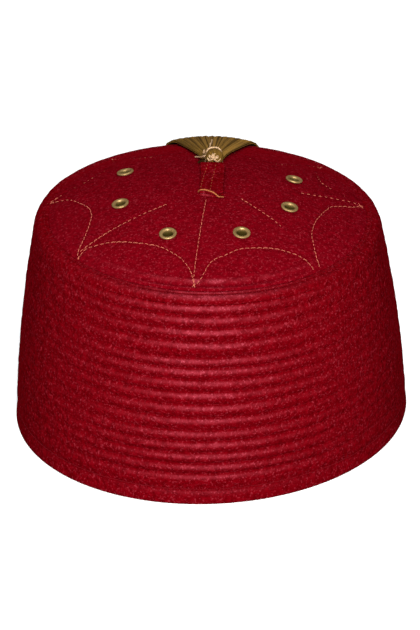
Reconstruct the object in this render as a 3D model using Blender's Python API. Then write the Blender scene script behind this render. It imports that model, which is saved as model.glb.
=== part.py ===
"""Fez hat: a quilted felt side, a domed felt crown with six brass eyelets, and a silk tassel held
by a felt loop. Metres, +Z up, the front at -Y, the origin at the middle of the hat's base.
"""

from math import atan2, cos, hypot, pi, radians, sin, sqrt

import bmesh
import bpy
from mathutils import Matrix, Vector

# Side band, outside the felt
BASE_RADIUS = 0.0937
BASE_OVAL = 0.0233  # share of the radius by which the base is longer than it is round
BASE_OVAL_ANGLE = radians(21.6)
SHOULDER_RADIUS = 0.0826
SHOULDER_ROUND = 0.0056
WALL_BELLY = 0.0018
SEAM_HEIGHT = 0.1036
SEAM_RADIUS = 0.0753
LEAN = 0.0237  # rise of the crown's left side over its right, for each metre across
WALL_THICKNESS = 0.003
HEM_STITCH = 0.0081
STITCH_ROWS = (
    0.0162, 0.0214, 0.0270, 0.0328, 0.0385, 0.0450, 0.0515, 0.0577,
    0.0637, 0.0694, 0.0748, 0.0820, 0.0885, 0.0944, 0.0999,
)
STITCH_DEPTH = 0.0009
HEM_DEPTH = 0.0005
HEM_CORNER = 0.0005
RIB_CREST_SHARES = (0.25, 0.75)  # where each rib's crest starts and ends between its two rows
SHOULDER_TURNS = (38, 62, 84)  # degrees up the shoulder's round, above the top row
SEAM_DIP = 0.0006
INNER_BEND_DROP = 0.002  # the felt's inner bend lies this far below the shoulder's outer one

# Crown
DOME_RADIUS = SHOULDER_RADIUS - SHOULDER_ROUND
DOME_RISE = 0.0152
CROWN_THICKNESS = 0.0025
CROWN_EDGE_ROUND = 0.0012
CROWN_RINGS = (0.012, 0.030, 0.050, 0.064)
CROWN_UNDER_RINGS = (0.064, 0.046, 0.024)
GAP = 0.0003  # between pieces that touch

# Eyelets: the angle round the crown, in degrees, and the distance from its middle
EYELETS = (
    {"angle": -68.5, "radius": 0.0421},
    {"angle": -115.1, "radius": 0.0436},
    {"angle": -166.4, "radius": 0.0420},
    {"angle": -19.9, "radius": 0.0407},
    {"angle": 146.9, "radius": 0.0466},
    {"angle": 22.1, "radius": 0.0447},
)
EYELET_BORE = 0.0024
EYELET_BARREL = 0.0030
EYELET_FLANGE = 0.0041
EYELET_UNDER_FLANGE = 0.0037
EYELET_RIM = 0.0009

# Felt loop, sewn flat at its front end
STRAP_WIDTH = 0.0112
STRAP_LAYER = 0.0011
STRAP_FRONT_Y = -0.0106
STRAP_FRONT_SKEW = 0.0033
STRAP_SKEW_END_Y = 0.004
STRAP_FRONT_X = 0.0019
STRAP_TURN = 0.0355  # sideways drift for each metre back
STRAP_RISE_Y = 0.0095
EYE_Y = 0.0183
EYE_RADIUS = 0.00155
EYE_LIFT = GAP + STRAP_LAYER / 2 + EYE_RADIUS

# Metallic cord: half of its route, from the middle of the eye round to the top of the neck
CORD_RADIUS = 0.00065
CORD_ROUTE = (
    {"across": 0.0000, "y": EYE_Y, "lift": EYE_LIFT},
    {"across": 0.0058, "y": EYE_Y, "lift": EYE_LIFT},
    {"across": 0.0066, "y": 0.0196, "lift": 0.0021},
    {"across": 0.0054, "y": 0.0238, "lift": 0.0015},
    {"across": 0.0044, "y": 0.0276, "lift": 0.0018},
    {"across": 0.0042, "y": 0.0291, "lift": 0.0040},
    {"across": 0.0035, "y": 0.0294, "lift": 0.0067},
    {"across": 0.0016, "y": 0.0294, "lift": 0.0080},
)
CORD_STEPS_EACH = 3

# Tassel
HEAD_RADIUS = 0.0045
HEAD_X = 0.0032
HEAD_Y = 0.0249
FAN_ROOT_Y = 0.027
FAN_MIDDLE_X = 0.0026
TASSEL_LOCKS = 13
LOCK_RIDGE = 0.0005
LOCK_FULL_WIDTH = 0.012  # half width from which the locks stand apart fully
TASSEL_SECTIONS = (
    {"along": 0.0000, "half": 0.0020, "under": 0.0028, "over": 0.0052, "bow": 0.7},
    {"along": 0.0020, "half": 0.0031, "under": 0.0014, "over": 0.0068, "bow": 0.8},
    {"along": 0.0034, "half": 0.0033, "under": 0.0010, "over": 0.0068, "bow": 0.8},
    {"along": 0.0058, "half": 0.0058, "under": 0.0003, "over": 0.0060, "bow": 0.7},
    {"along": 0.0090, "half": 0.0074, "under": 0.0003, "over": 0.0051, "bow": 0.6},
    {"along": 0.0160, "half": 0.0106, "under": 0.0003, "over": 0.0044, "bow": 0.5},
    {"along": 0.0260, "half": 0.0145, "under": 0.0003, "over": 0.0039, "bow": 0.5},
    {"along": 0.0370, "half": 0.0184, "under": 0.0003, "over": 0.0036, "bow": 0.5},
    {"along": 0.0450, "half": 0.0208, "under": 0.0004, "over": 0.0035, "bow": 0.5},
    {"along": 0.0480, "half": 0.0215, "under": 0.0005, "over": 0.0035, "bow": 0.5},
    {"along": 0.0510, "half": 0.0220, "under": 0.0005, "over": 0.0035, "bow": 0.5},
    {"along": 0.0540, "half": 0.0224, "under": 0.0005, "over": 0.0035, "bow": 0.5},
    {"along": 0.0570, "half": 0.0227, "under": 0.0005, "over": 0.0035, "bow": 0.5},
    {"along": 0.0620, "half": 0.0230, "under": 0.0004, "over": 0.0035, "bow": 0.5},
    {"along": 0.0760, "half": 0.0235, "under": 0.0003, "over": 0.0034, "bow": 0.5},
    {"along": 0.0900, "half": 0.0236, "under": 0.0003, "over": 0.0032, "bow": 0.5},
    {"along": 0.1050, "half": 0.0236, "under": 0.0004, "over": 0.0026, "bow": 0.5},
)
TIP_UNEVEN = 0.0035

# Facets
ROUND_STEPS = 48
EYELET_STEPS = 12
EYE_STEPS = 8
CORD_SIDES = 8

FELT = {"colour": (0.30, 0.008, 0.022), "roughness": 0.95, "metallic": 0.0}
BRASS = {"colour": (0.55, 0.40, 0.16), "roughness": 0.35, "metallic": 1.0}
GOLD_CORD = {"colour": (0.75, 0.55, 0.28), "roughness": 0.35, "metallic": 1.0}
SILK = {"colour": (0.24, 0.15, 0.035), "roughness": 0.5, "metallic": 0.0}


def clear_scene():
    for item in list(bpy.data.objects):
        bpy.data.objects.remove(item, do_unlink=True)


def new_material(name, finish):
    material = bpy.data.materials.new(name)
    material.use_nodes = True
    shader = material.node_tree.nodes["Principled BSDF"]
    shader.inputs["Base Color"].default_value = (*finish["colour"], 1.0)
    shader.inputs["Roughness"].default_value = finish["roughness"]
    shader.inputs["Metallic"].default_value = finish["metallic"]
    return material


def new_object(name, mesh, finish=None):
    item = bpy.data.objects.new(name, mesh)
    bpy.context.collection.objects.link(item)
    if finish:
        mesh.materials.append(new_material(name, finish))
    return item


def mesh_from_grid(name, rows, wrap_rows):
    """A closed mesh over rows of points, each row a closed ring, joined end to end or capped."""
    mesh = bpy.data.meshes.new(name)
    bm = bmesh.new()
    rings = [[bm.verts.new(point) for point in row] for row in rows]
    pairs = list(zip(rings, rings[1:]))
    if wrap_rows:
        pairs.append((rings[-1], rings[0]))
    for lower, upper in pairs:
        for i in range(len(lower)):
            j = (i + 1) % len(lower)
            bm.faces.new((lower[i], lower[j], upper[j], upper[i]))
    if not wrap_rows:
        bm.faces.new(reversed(rings[0]))
        bm.faces.new(rings[-1])
    bmesh.ops.triangulate(bm, faces=[face for face in bm.faces if len(face.verts) > 4])
    bmesh.ops.recalc_face_normals(bm, faces=bm.faces)
    bm.to_mesh(mesh)
    bm.free()
    return mesh


def smooth(mesh, angle):
    mesh.shade_smooth()
    mesh.set_sharp_from_angle(angle=radians(angle))


def eased(share):
    """From 0 to 1 with a level start and end."""
    return share * share * (3 - 2 * share)


# The hat's body, as surfaces that every piece is placed on


def body_point(radius, height, angle):
    """Oval at the base, round at the shoulder, and leaning with height."""
    share = min(max(height / SEAM_HEIGHT, 0.0), 1.0)
    stretch = 1 + BASE_OVAL * (1 - share) * cos(2 * (angle - BASE_OVAL_ANGLE))
    x = radius * stretch * cos(angle)
    y = radius * stretch * sin(angle)
    return Vector((x, y, height - LEAN * share * x))


def wall_radius(height):
    """The outside of the side, over the crests of its ribs, up to the flat of the shoulder."""
    bend = SEAM_HEIGHT - SHOULDER_ROUND
    if height > bend:
        rise = min((height - bend) / SHOULDER_ROUND, 1.0)
        return DOME_RADIUS + SHOULDER_ROUND * sqrt(1 - rise**2)
    share = height / bend
    straight = BASE_RADIUS + (SHOULDER_RADIUS - BASE_RADIUS) * share
    return straight + WALL_BELLY * 4 * share * (1 - share)


def dome_height(radius):
    return SEAM_HEIGHT + DOME_RISE * (1 - (radius / DOME_RADIUS) ** 2)


def crown_point(x, y, lift=0.0):
    """A point above the crown's felt, by its place in plan."""
    return Vector((x, y, dome_height(hypot(x, y)) - LEAN * x + lift))


def turned(profile, steps):
    """A closed profile of radius and height carried round the hat's axis."""
    return [
        [body_point(radius, height, 2 * pi * i / steps) for radius, height in profile]
        for i in range(steps)
    ]


# Side band


def shoulder_point(turn):
    """Radius and height on the shoulder's round, 0 degrees at the wall and 90 at the seam's flat."""
    rise = SHOULDER_ROUND * (1 - sin(radians(turn)))
    return DOME_RADIUS + SHOULDER_ROUND * cos(radians(turn)), SEAM_HEIGHT - rise


def rib_profile():
    """The outside of the side: the hem, a rib between each two rows of stitches, the shoulder."""
    rows = (HEM_STITCH, *STITCH_ROWS)
    middle = HEM_STITCH * 0.6
    points = [
        (BASE_RADIUS - HEM_CORNER, 0.0),
        (BASE_RADIUS, HEM_CORNER),
        (wall_radius(middle), middle),
        (wall_radius(HEM_STITCH) - HEM_DEPTH, HEM_STITCH),
    ]
    for low, high in zip(rows, rows[1:]):
        for share in RIB_CREST_SHARES:
            height = low + (high - low) * share
            points.append((wall_radius(height), height))
        points.append((wall_radius(high) - STITCH_DEPTH, high))
    points += [shoulder_point(turn) for turn in SHOULDER_TURNS]
    points.append((SEAM_RADIUS + SEAM_DIP, SEAM_HEIGHT))
    points.append((SEAM_RADIUS, SEAM_HEIGHT - SEAM_DIP))
    return points


def felt_inside():
    """The inside of the side, from the seam down to the hem."""
    lip = dome_height(SEAM_RADIUS) - CROWN_THICKNESS
    bend = SEAM_HEIGHT - SHOULDER_ROUND - INNER_BEND_DROP
    points = [(SEAM_RADIUS, lip), (DOME_RADIUS + CROWN_EDGE_ROUND, lip - CROWN_EDGE_ROUND)]
    for share in (1.0, 0.75, 0.5, 0.25, 0.0):
        height = bend * share
        points.append((wall_radius(height) - WALL_THICKNESS, height))
    return points


def side_band():
    mesh = mesh_from_grid("side_band", turned(rib_profile() + felt_inside(), ROUND_STEPS), True)
    smooth(mesh, 60)
    return new_object("side_band", mesh, FELT)


# Crown


def crown_profile():
    """From near the middle of the top out to its rolled edge and back under."""
    edge = SEAM_RADIUS - GAP
    rim = dome_height(edge)
    points = [(radius, dome_height(radius)) for radius in CROWN_RINGS]
    points += [
        (edge - CROWN_EDGE_ROUND, dome_height(edge - CROWN_EDGE_ROUND)),
        (edge - CROWN_EDGE_ROUND * 0.3, rim - CROWN_EDGE_ROUND * 0.2),
        (edge, rim - CROWN_EDGE_ROUND * 0.8),
        (edge, rim - CROWN_THICKNESS),
    ]
    points += [(radius, dome_height(radius) - CROWN_THICKNESS) for radius in CROWN_UNDER_RINGS]
    return points


def eyelet_frame(place):
    """The eyelet's middle on the felt, with its Z square to the crown there."""
    angle = radians(place["angle"])
    x, y = place["radius"] * cos(angle), place["radius"] * sin(angle)
    slope = 2 * DOME_RISE / DOME_RADIUS**2
    normal = Vector((slope * x + LEAN, slope * y, 1.0)).normalized()
    tilt = normal.to_track_quat("Z", "Y").to_matrix().to_4x4()
    return Matrix.Translation(crown_point(x, y)) @ tilt


def hole_cutter():
    mesh = bpy.data.meshes.new("eyelet_holes")
    bm = bmesh.new()
    for place in EYELETS:
        bmesh.ops.create_cone(
            bm,
            segments=EYELET_STEPS,
            radius1=EYELET_BARREL + GAP,
            radius2=EYELET_BARREL + GAP,
            depth=CROWN_THICKNESS * 4,
            cap_ends=True,
            matrix=eyelet_frame(place),
        )
    bm.to_mesh(mesh)
    bm.free()
    cutter = new_object("eyelet_holes", mesh)
    cutter.hide_render = True
    cutter.display_type = "WIRE"
    return cutter


def crown_top():
    rings = list(zip(*turned(crown_profile(), ROUND_STEPS)))
    crown = new_object("crown_top", mesh_from_grid("crown_top", rings, False), FELT)
    cut = crown.modifiers.new("eyelet_holes", "BOOLEAN")
    cut.operation = "DIFFERENCE"
    cut.object = hole_cutter()
    smooth(crown.data, 50)
    return crown


# Eyelets


def eyelet_profile():
    """Radius and height over the felt, from the barrel out over the upper roll and down the bore."""
    top = GAP
    under = -CROWN_THICKNESS - GAP
    roll = EYELET_RIM * 0.25
    return [
        (EYELET_BARREL, top),
        (EYELET_FLANGE, top),
        (EYELET_FLANGE - roll, top + EYELET_RIM * 0.7),
        (EYELET_FLANGE - EYELET_RIM, top + EYELET_RIM),
        (EYELET_BORE + roll, top + EYELET_RIM * 0.6),
        (EYELET_BORE, top - roll),
        (EYELET_BORE, under - EYELET_RIM),
        (EYELET_UNDER_FLANGE - roll, under - EYELET_RIM),
        (EYELET_UNDER_FLANGE, under),
        (EYELET_BARREL, under),
    ]


def eyelets():
    rings = []
    for i in range(EYELET_STEPS):
        angle = 2 * pi * i / EYELET_STEPS
        rings.append([Vector((r * cos(angle), r * sin(angle), h)) for r, h in eyelet_profile()])
    for number, place in enumerate(EYELETS, 1):
        name = f"eyelet_{number}"
        mesh = mesh_from_grid(name, rings, True)
        smooth(mesh, 50)
        item = new_object(name, mesh, BRASS)
        item.matrix_world = eyelet_frame(place)


# Felt loop


def strap_path():
    """The strip's middle line as y and lift: back along the upper layer, round the eye, forward."""
    lower = EYE_LIFT - EYE_RADIUS
    upper = lower + STRAP_LAYER + GAP
    crest = EYE_LIFT + EYE_RADIUS
    path = [(STRAP_FRONT_Y + (STRAP_RISE_Y - STRAP_FRONT_Y) * i / 4, upper) for i in range(5)]
    for share in (0.35, 0.7):
        y = STRAP_RISE_Y + (EYE_Y - STRAP_RISE_Y) * share
        path.append((y, upper + (crest - upper) * eased(share)))
    for i in range(EYE_STEPS + 1):
        turn = pi / 2 - pi * i / EYE_STEPS
        path.append((EYE_Y + EYE_RADIUS * cos(turn), EYE_LIFT + EYE_RADIUS * sin(turn)))
    path += [(STRAP_FRONT_Y + (EYE_Y - STRAP_FRONT_Y) * i / 5, lower) for i in (4, 3, 2, 1, 0)]
    return path


def strap_middle_x(y):
    return STRAP_FRONT_X + STRAP_TURN * (y - STRAP_FRONT_Y)


def strap_point(y, lift, side):
    """Side runs from -1 at the strip's left edge to 1 at its right; the front end is cut askew."""
    flat = max(0.0, (STRAP_SKEW_END_Y - y) / (STRAP_SKEW_END_Y - STRAP_FRONT_Y))
    x = strap_middle_x(y) + side * STRAP_WIDTH / 2
    return crown_point(x, y - side * STRAP_FRONT_SKEW * flat, lift)


def tassel_loop():
    path = [Vector(point) for point in strap_path()]
    rings = []
    for i, point in enumerate(path):
        ahead = path[min(i + 1, len(path) - 1)] - path[max(i - 1, 0)]
        out = Vector((-ahead.y, ahead.x)).normalized() * STRAP_LAYER / 2
        outer, inner = point + out, point - out
        rings.append(
            [strap_point(*outer, side) for side in (-1, 0, 1)]
            + [strap_point(*inner, side) for side in (1, 0, -1)]
        )
    mesh = mesh_from_grid("tassel_loop", rings, False)
    smooth(mesh, 50)
    return new_object("tassel_loop", mesh, FELT)


# Metallic cord


def cord_corner(place, side):
    return crown_point(HEAD_X + side * place["across"], place["y"], place["lift"])


def cord_route():
    """The whole loop's points, read from a smooth curve through its corners."""
    right = [cord_corner(place, 1) for place in CORD_ROUTE]
    left = [cord_corner(place, -1) for place in CORD_ROUTE[:0:-1]]
    corners = right + left
    count = len(corners)
    points = []
    for i in range(count):
        before, start, end, after = (corners[(i + k) % count] for k in (-1, 0, 1, 2))
        for step in range(CORD_STEPS_EACH):
            points.append(between(before, start, end, after, step / CORD_STEPS_EACH))
    return points


def between(before, start, end, after, share):
    """A point on a smooth curve from start to end, heading as its neighbours do."""
    leave = (end - before) / 2
    arrive = (after - start) / 2
    bend = eased(share)
    early = share * (1 - share) ** 2
    late = share * share * (share - 1)
    return start * (1 - bend) + end * bend + leave * early + arrive * late


def tassel_cord():
    curve = bpy.data.curves.new("tassel_cord", "CURVE")
    curve.dimensions = "3D"
    curve.bevel_depth = CORD_RADIUS
    curve.bevel_resolution = CORD_SIDES // 4
    route = cord_route()
    spline = curve.splines.new("POLY")
    spline.points.add(len(route) - 1)
    for point, place in zip(spline.points, route):
        point.co = (*place, 1.0)
    spline.use_cyclic_u = True
    curve.materials.append(new_material("tassel_cord", GOLD_CORD))
    item = bpy.data.objects.new("tassel_cord", curve)
    bpy.context.collection.objects.link(item)
    return item


# Tassel


def drape_profile():
    """The hat's outside as radius and height, from the dome's edge over the shoulder and down."""
    edge = SEAM_RADIUS - CROWN_EDGE_ROUND
    points = [(edge, dome_height(edge))]
    points += [shoulder_point(turn) for turn in (70, 50, 30, 10, 0)]
    bend = points[-1][1]
    for step in range(1, 14):
        height = bend * (1 - step / 16)
        points.append((wall_radius(height), height))
    return [Vector(point) for point in points]


def drape_place(profile, length):
    """The place and outward direction a given length down the drape profile."""
    for start, end in zip(profile, profile[1:]):
        step = (end - start).length
        if length <= step:
            break
        length -= step
    ahead = (end - start).normalized()
    return start + ahead * length, Vector((-ahead.y, ahead.x))


def fan_point(side, along, half, lift, profile):
    """Side runs from -1 to 1 across the fan, and along is the length from its root."""
    edge_x = FAN_MIDDLE_X + side * half
    edge_y = sqrt(profile[0].x ** 2 - edge_x**2)
    run = edge_y - FAN_ROOT_Y
    if along < run:
        return crown_point(edge_x, FAN_ROOT_Y + along, lift)
    place, out = drape_place(profile, along - run)
    place = place + out * lift
    return body_point(place.x, place.y, atan2(edge_y, edge_x))


def upper_lift(section, index):
    """The top of the locks: crests and valleys across the fan, lower towards its edges."""
    side = index / TASSEL_LOCKS - 1
    depth = section["over"] - section["under"]
    ridge = LOCK_RIDGE * min(1.0, section["half"] / LOCK_FULL_WIDTH)
    crest = ridge if index % 2 else -ridge
    return section["under"] + depth * (1 - section["bow"] * side**2) + crest


def lower_lift(section, index):
    """The underside: flat on the felt, and rounded where the neck stands clear of it."""
    side = index / TASSEL_LOCKS - 1
    if section["under"] < 2 * GAP:
        return section["under"]
    edge = (section["over"] - section["under"]) * (1 - section["bow"])
    return section["under"] + edge * 0.6 * side**2


def tip_shift(index):
    """How far a lock's end hangs below or above the others."""
    lock = index // 2
    return TIP_UNEVEN * (sin(2.4 * lock + 0.6) + (0.35 if index % 2 else -0.35))


def tassel_skirt():
    profile = drape_profile()
    rings = []
    for section in TASSEL_SECTIONS:
        upper, lower = [], []
        for index in range(2 * TASSEL_LOCKS + 1):
            side = index / TASSEL_LOCKS - 1
            along = section["along"]
            if section is TASSEL_SECTIONS[-1]:
                along += tip_shift(index)
            over, under = upper_lift(section, index), lower_lift(section, index)
            upper.append(fan_point(side, along, section["half"], over, profile))
            lower.append(fan_point(side, along, section["half"], under, profile))
        rings.append(upper + lower[::-1])
    return mesh_from_grid("tassel", rings, False)


def tassel_head():
    mesh = bpy.data.meshes.new("tassel_head")
    bm = bmesh.new()
    middle = crown_point(HEAD_X, HEAD_Y, GAP + HEAD_RADIUS)
    bmesh.ops.create_uvsphere(
        bm, u_segments=16, v_segments=10, radius=HEAD_RADIUS, matrix=Matrix.Translation(middle)
    )
    bm.to_mesh(mesh)
    bm.free()
    head = new_object("tassel_head", mesh)
    head.hide_render = True
    head.display_type = "WIRE"
    return head


def tassel():
    item = new_object("tassel", tassel_skirt(), SILK)
    join = item.modifiers.new("tassel_head", "BOOLEAN")
    join.operation = "UNION"
    join.object = tassel_head()
    smooth(item.data, 30)
    return item


def main():
    clear_scene()
    side_band()
    crown_top()
    eyelets()
    tassel_loop()
    tassel_cord()
    tassel()


main()
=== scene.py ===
"""The fez dressed for its picture: quilted wool felt, brass eyelets, gold stitching, a silk tassel."""

from math import atan2, cos, degrees, hypot, pi, radians, sin, sqrt

import bmesh
import bpy
from mathutils import Matrix, Vector, noise
from mathutils.kdtree import KDTree


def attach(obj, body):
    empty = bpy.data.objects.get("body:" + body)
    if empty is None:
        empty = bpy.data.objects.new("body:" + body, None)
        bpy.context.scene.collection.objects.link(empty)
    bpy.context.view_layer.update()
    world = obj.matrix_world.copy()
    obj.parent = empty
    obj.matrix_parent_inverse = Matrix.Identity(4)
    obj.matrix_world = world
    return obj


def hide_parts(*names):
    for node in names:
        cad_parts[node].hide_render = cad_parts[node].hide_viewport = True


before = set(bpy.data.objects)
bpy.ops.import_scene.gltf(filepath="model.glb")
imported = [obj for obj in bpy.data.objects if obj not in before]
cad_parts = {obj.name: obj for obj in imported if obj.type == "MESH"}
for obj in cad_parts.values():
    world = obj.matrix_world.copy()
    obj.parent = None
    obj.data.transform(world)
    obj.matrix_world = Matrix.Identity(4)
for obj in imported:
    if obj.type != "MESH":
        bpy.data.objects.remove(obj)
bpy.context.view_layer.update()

# The hat's sizes in metres, as its solids have them
BASE_RADIUS = 0.0937
BASE_OVAL = 0.0233
BASE_OVAL_ANGLE = radians(21.6)
SHOULDER_RADIUS = 0.0826
SHOULDER_ROUND = 0.0056
WALL_BELLY = 0.0018
SEAM_HEIGHT = 0.1036
SEAM_RADIUS = 0.0753
LEAN = 0.0237
WALL_THICKNESS = 0.003
HEM_STITCH = 0.0081
STITCH_ROWS = (
    0.0162, 0.0214, 0.0270, 0.0328, 0.0385, 0.0450, 0.0515, 0.0577,
    0.0637, 0.0694, 0.0748, 0.0820, 0.0885, 0.0944, 0.0999,
)
DOME_RADIUS = SHOULDER_RADIUS - SHOULDER_ROUND
DOME_RISE = 0.0152
CROWN_THICKNESS = 0.0025
GAP = 0.0003
EYELETS = (  # degrees round the crown, and distance from its middle
    (-68.5, 0.0421), (-115.1, 0.0436), (-166.4, 0.0420),
    (-19.9, 0.0407), (146.9, 0.0466), (22.1, 0.0447),
)
EYELET_BORE = 0.0024
EYELET_BARREL = 0.0030
EYELET_FLANGE = 0.0041
EYELET_UNDER_FLANGE = 0.0037
EYELET_RIM = 0.0009
STRAP_WIDTH = 0.0112
STRAP_LAYER = 0.0011
STRAP_FRONT_Y = -0.0106
STRAP_SKEW_END_Y = 0.004
STRAP_CUT = ((-1.0, -0.0010), (0.0, 0.0004), (0.35, 0.0012), (0.6, 0.0003), (1.0, -0.0018))
STRAP_FRONT_X = 0.0019
STRAP_TURN = 0.0355
STRAP_RISE_Y = 0.0095
EYE_Y = 0.0183
EYE_RADIUS = 0.00155
EYE_LIFT = GAP + STRAP_LAYER / 2 + EYE_RADIUS
CORD_ROUTE = (  # x, y and lift, from the strap's eye round behind the head by the right
    (0.0029, EYE_Y, EYE_LIFT), (0.0078, EYE_Y, EYE_LIFT), (0.0083, 0.0197, 0.0021),
    (0.0082, 0.0235, 0.0014), (0.0074, 0.0270, 0.0014), (0.0071, 0.0293, 0.0036), (0.0070, 0.0291, 0.0061),
    (0.0062, 0.0288, 0.0077), (0.0047, 0.0288, 0.0085), (0.0030, 0.0287, 0.0085), (0.0014, 0.0284, 0.0081),
    (0.0004, 0.0288, 0.0070), (-0.0001, 0.0294, 0.0046), (-0.0004, 0.0282, 0.0016),
    (-0.0011, 0.0238, 0.0013), (-0.0024, 0.0197, 0.0021), (-0.0020, EYE_Y, EYE_LIFT),
)
HEAD_RADIUS = 0.0043
HEAD_X = 0.0037
HEAD_Y = 0.0249
FAN_ROOT_Y = 0.027
FAN_MIDDLE_X = 0.0026
TASSEL_LOCKS = 13
TASSEL_SECTIONS = (  # along, half width, under, over, bow
    (0.0000, 0.0020, 0.0028, 0.0052, 0.7), (0.0020, 0.0031, 0.0014, 0.0068, 0.8),
    (0.0034, 0.0033, 0.0010, 0.0068, 0.8), (0.0058, 0.0058, 0.0003, 0.0060, 0.7),
    (0.0090, 0.0074, 0.0003, 0.0051, 0.6), (0.0160, 0.0106, 0.0003, 0.0044, 0.5),
    (0.0260, 0.0145, 0.0003, 0.0039, 0.5), (0.0370, 0.0184, 0.0003, 0.0036, 0.5),
    (0.0450, 0.0208, 0.0004, 0.0035, 0.5), (0.0540, 0.0224, 0.0005, 0.0035, 0.5),
    (0.0620, 0.0230, 0.0004, 0.0035, 0.5), (0.0760, 0.0235, 0.0003, 0.0034, 0.5),
    (0.0900, 0.0236, 0.0003, 0.0032, 0.5), (0.1050, 0.0236, 0.0004, 0.0026, 0.5),
)
TIP_UNEVEN = 0.0020
THREAD_LENGTH = 0.1005
THREAD_START = 0.0012
THREAD_STEPS = 40
CORE_STEP = 0.0012
CORE_STEPS = 78
CORE_COLUMNS = 52
CORE_SLIMMER = 0.0004
LEAST_LIFT = 0.0002
THREAD_LAYERS = ((0.00005, 118), (-0.00038, 104))  # lift, and how many threads

# Quilting and stitching
RIB_DEPTH = 0.0010
RIB_DEPTH_ROUND = 0.28
RIB_STEPS = (0.03, 0.09, 0.20, 0.34, 0.48, 0.58, 0.66, 0.74, 0.82, 0.90, 0.97)
HEM_DEPTH = 0.0006
HEM_CORNER = 0.0009
HEM_STEPS = (0.2, 0.42, 0.62, 0.78, 0.88, 0.94, 0.98)
SHOULDER_STEPS = (0.0, 0.03, 0.08, 0.16, 0.27, 0.40, 0.53, 0.66, 0.78, 0.88, 0.95, 1.0)
SHOULDER_SPAN = 0.0066
DENT_ANGLE = radians(-33)
DENT_TURN = 75
DENT_REACH = 17
DENT_DEPTH = 0.0007
ROW_SWAY = 0.00025
# Painted highlight on the ribs' nap: where it starts, peaks and fades below each row, and its middle and
# spread round the front
HIGHLIGHT_START = 0.0005
HIGHLIGHT_PEAK = 0.0016
HIGHLIGHT_REACH = 0.0018
HIGHLIGHT_FRONT = radians(-92)
HIGHLIGHT_SPREAD = radians(15)
TOPSTITCH_TURN = 87
TOPSTITCH_DEPTH = 0.0006
SIDE_COLUMNS = 372
CROWN_COLUMNS = 360
SIDE_LUMPS = ((0.00022, 0.007, 0.0), (0.00016, 0.0028, 5.0))  # height, size and kind
CROWN_LUMPS = ((0.00018, 0.016, 2.0), (0.00008, 0.006, 4.0), (0.00003, 0.003, 6.0))
SEAM_DIP = 0.0006
SEAM_DROP = 0.0008
LEDGE = 0.0012
CROWN_RADIUS = 0.0750
CROWN_EDGE_START = 0.0715
CROWN_EDGE_DROP = 0.00055
CROWN_GROOVE = 0.0725
CROWN_EDGE = (  # radius, and how far the rolled edge drops below the dome there
    (0.0690, 0.0), (0.0702, -0.00012), (0.0715, 0.00030), (0.0725, 0.00080), (0.0733, 0.00062),
    (0.0742, 0.00022), (0.0747, 0.00045), (CROWN_RADIUS, 0.00130),
)
CROWN_RINGS = (
    *(0.0008 + 0.0011 * i for i in range(62)),
    0.0685, 0.0692, 0.0698, 0.0704, 0.0710, 0.0716, 0.0721, 0.0726, 0.0731, 0.0736, 0.0741, 0.0745, 0.0748,
    CROWN_RADIUS,
)
STITCH_PITCH = 0.0027
STITCH_PULL = 0.00030
STITCH_PULL_REACH = 0.0016
EYELET_PULL = 0.00020
EYELET_PULL_REACH = 0.0022
STAR_TIPS = (  # degrees round the crown, distance from its middle, and how far each scallop stops short
    (-95.4, 0.0727, 0.0), (-47.8, 0.0729, 0.0021), (5.4, 0.0735, 0.0), (42.0, 0.0750, 0.0),
    (85.0, 0.0750, 0.0), (128.0, 0.0750, 0.0), (171.0, 0.0774, 0.0), (-143.4, 0.0745, 0.0),
)
STAR_ARCS = (  # each scallop's own points between its two tips, in mm, from the front round to the right
    ((-4.3, -70.0), (-1.6, -64.0), (-0.2, -61.0), (1.8, -57.9), (4.3, -56.2), (8.4, -53.8), (13.3, -50.4),
     (17.9, -48.9), (23.1, -48.0), (30.3, -47.2), (35.6, -47.9), (40.3, -49.1), (44.4, -51.4)),
    ((49.6, -48.2), (48.9, -43.1), (48.3, -36.7), (48.0, -33.6), (48.3, -29.5), (50.0, -21.8),
     (52.4, -15.4), (54.5, -10.7), (58.1, -4.0), (61.8, -1.3), (65.1, 0.8), (68.5, 2.4)),
    ((71.0, 10.4), (66.5, 12.0), (61.4, 15.8), (56.8, 19.5), (54.4, 23.6), (53.0, 31.8), (53.1, 41.0)),
    ((51.0, 46.0), (45.5, 42.2), (39.1, 39.2), (34.8, 37.4), (27.0, 38.4), (19.0, 43.6), (12.4, 52.0)),
    ((2.6, 66.5), (-1.4, 57.8), (-9.4, 50.6), (-19.6, 47.2), (-30.6, 47.6), (-39.6, 51.3)),
    ((-45.6, 52.6), (-45.1, 45.6), (-47.6, 38.2), (-53.8, 30.6), (-60.4, 23.6), (-64.7, 21.2),
     (-70.4, 16.6)),
    ((-67.2, 8.9), (-63.4, 5.4), (-59.2, -0.7), (-55.8, -6.6), (-54.4, -13.8), (-55.0, -19.7),
     (-56.1, -25.8), (-57.6, -31.8), (-59.3, -37.0), (-60.3, -41.3)),
    ((-57.4, -40.7), (-54.9, -39.4), (-50.5, -39.2), (-45.3, -39.1), (-39.5, -40.4), (-35.0, -42.0),
     (-28.8, -44.3), (-22.7, -47.1), (-18.1, -50.7), (-13.4, -55.2), (-10.0, -60.4), (-8.1, -65.3)),
)
STAR_ROWS = (  # the straight rows in mm, from near a tip in towards the middle
    ((-6.7, -72.0), (-6.4, -62.5), (-0.7, -13.4)),
    ((33.5, -29.8), (28.8, -24.3), (22.3, -17.5), (16.2, -11.0)),
    ((72.6, 7.2), (68.4, 7.8), (62.9, 6.6), (56.9, 5.6), (51.5, 4.3), (45.0, 3.6)),
    ((-58.4, -39.9), (-54.9, -37.2), (-43.8, -29.5), (-19.8, -15.7)),
)
FAINT_LINES = slice(len(STAR_ARCS) + 1, len(STAR_ARCS) + 3)  # the two straight rows on the right
FAINT_SINK = 0.00009
STAR_FRONT_Y = 0.005

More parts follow.
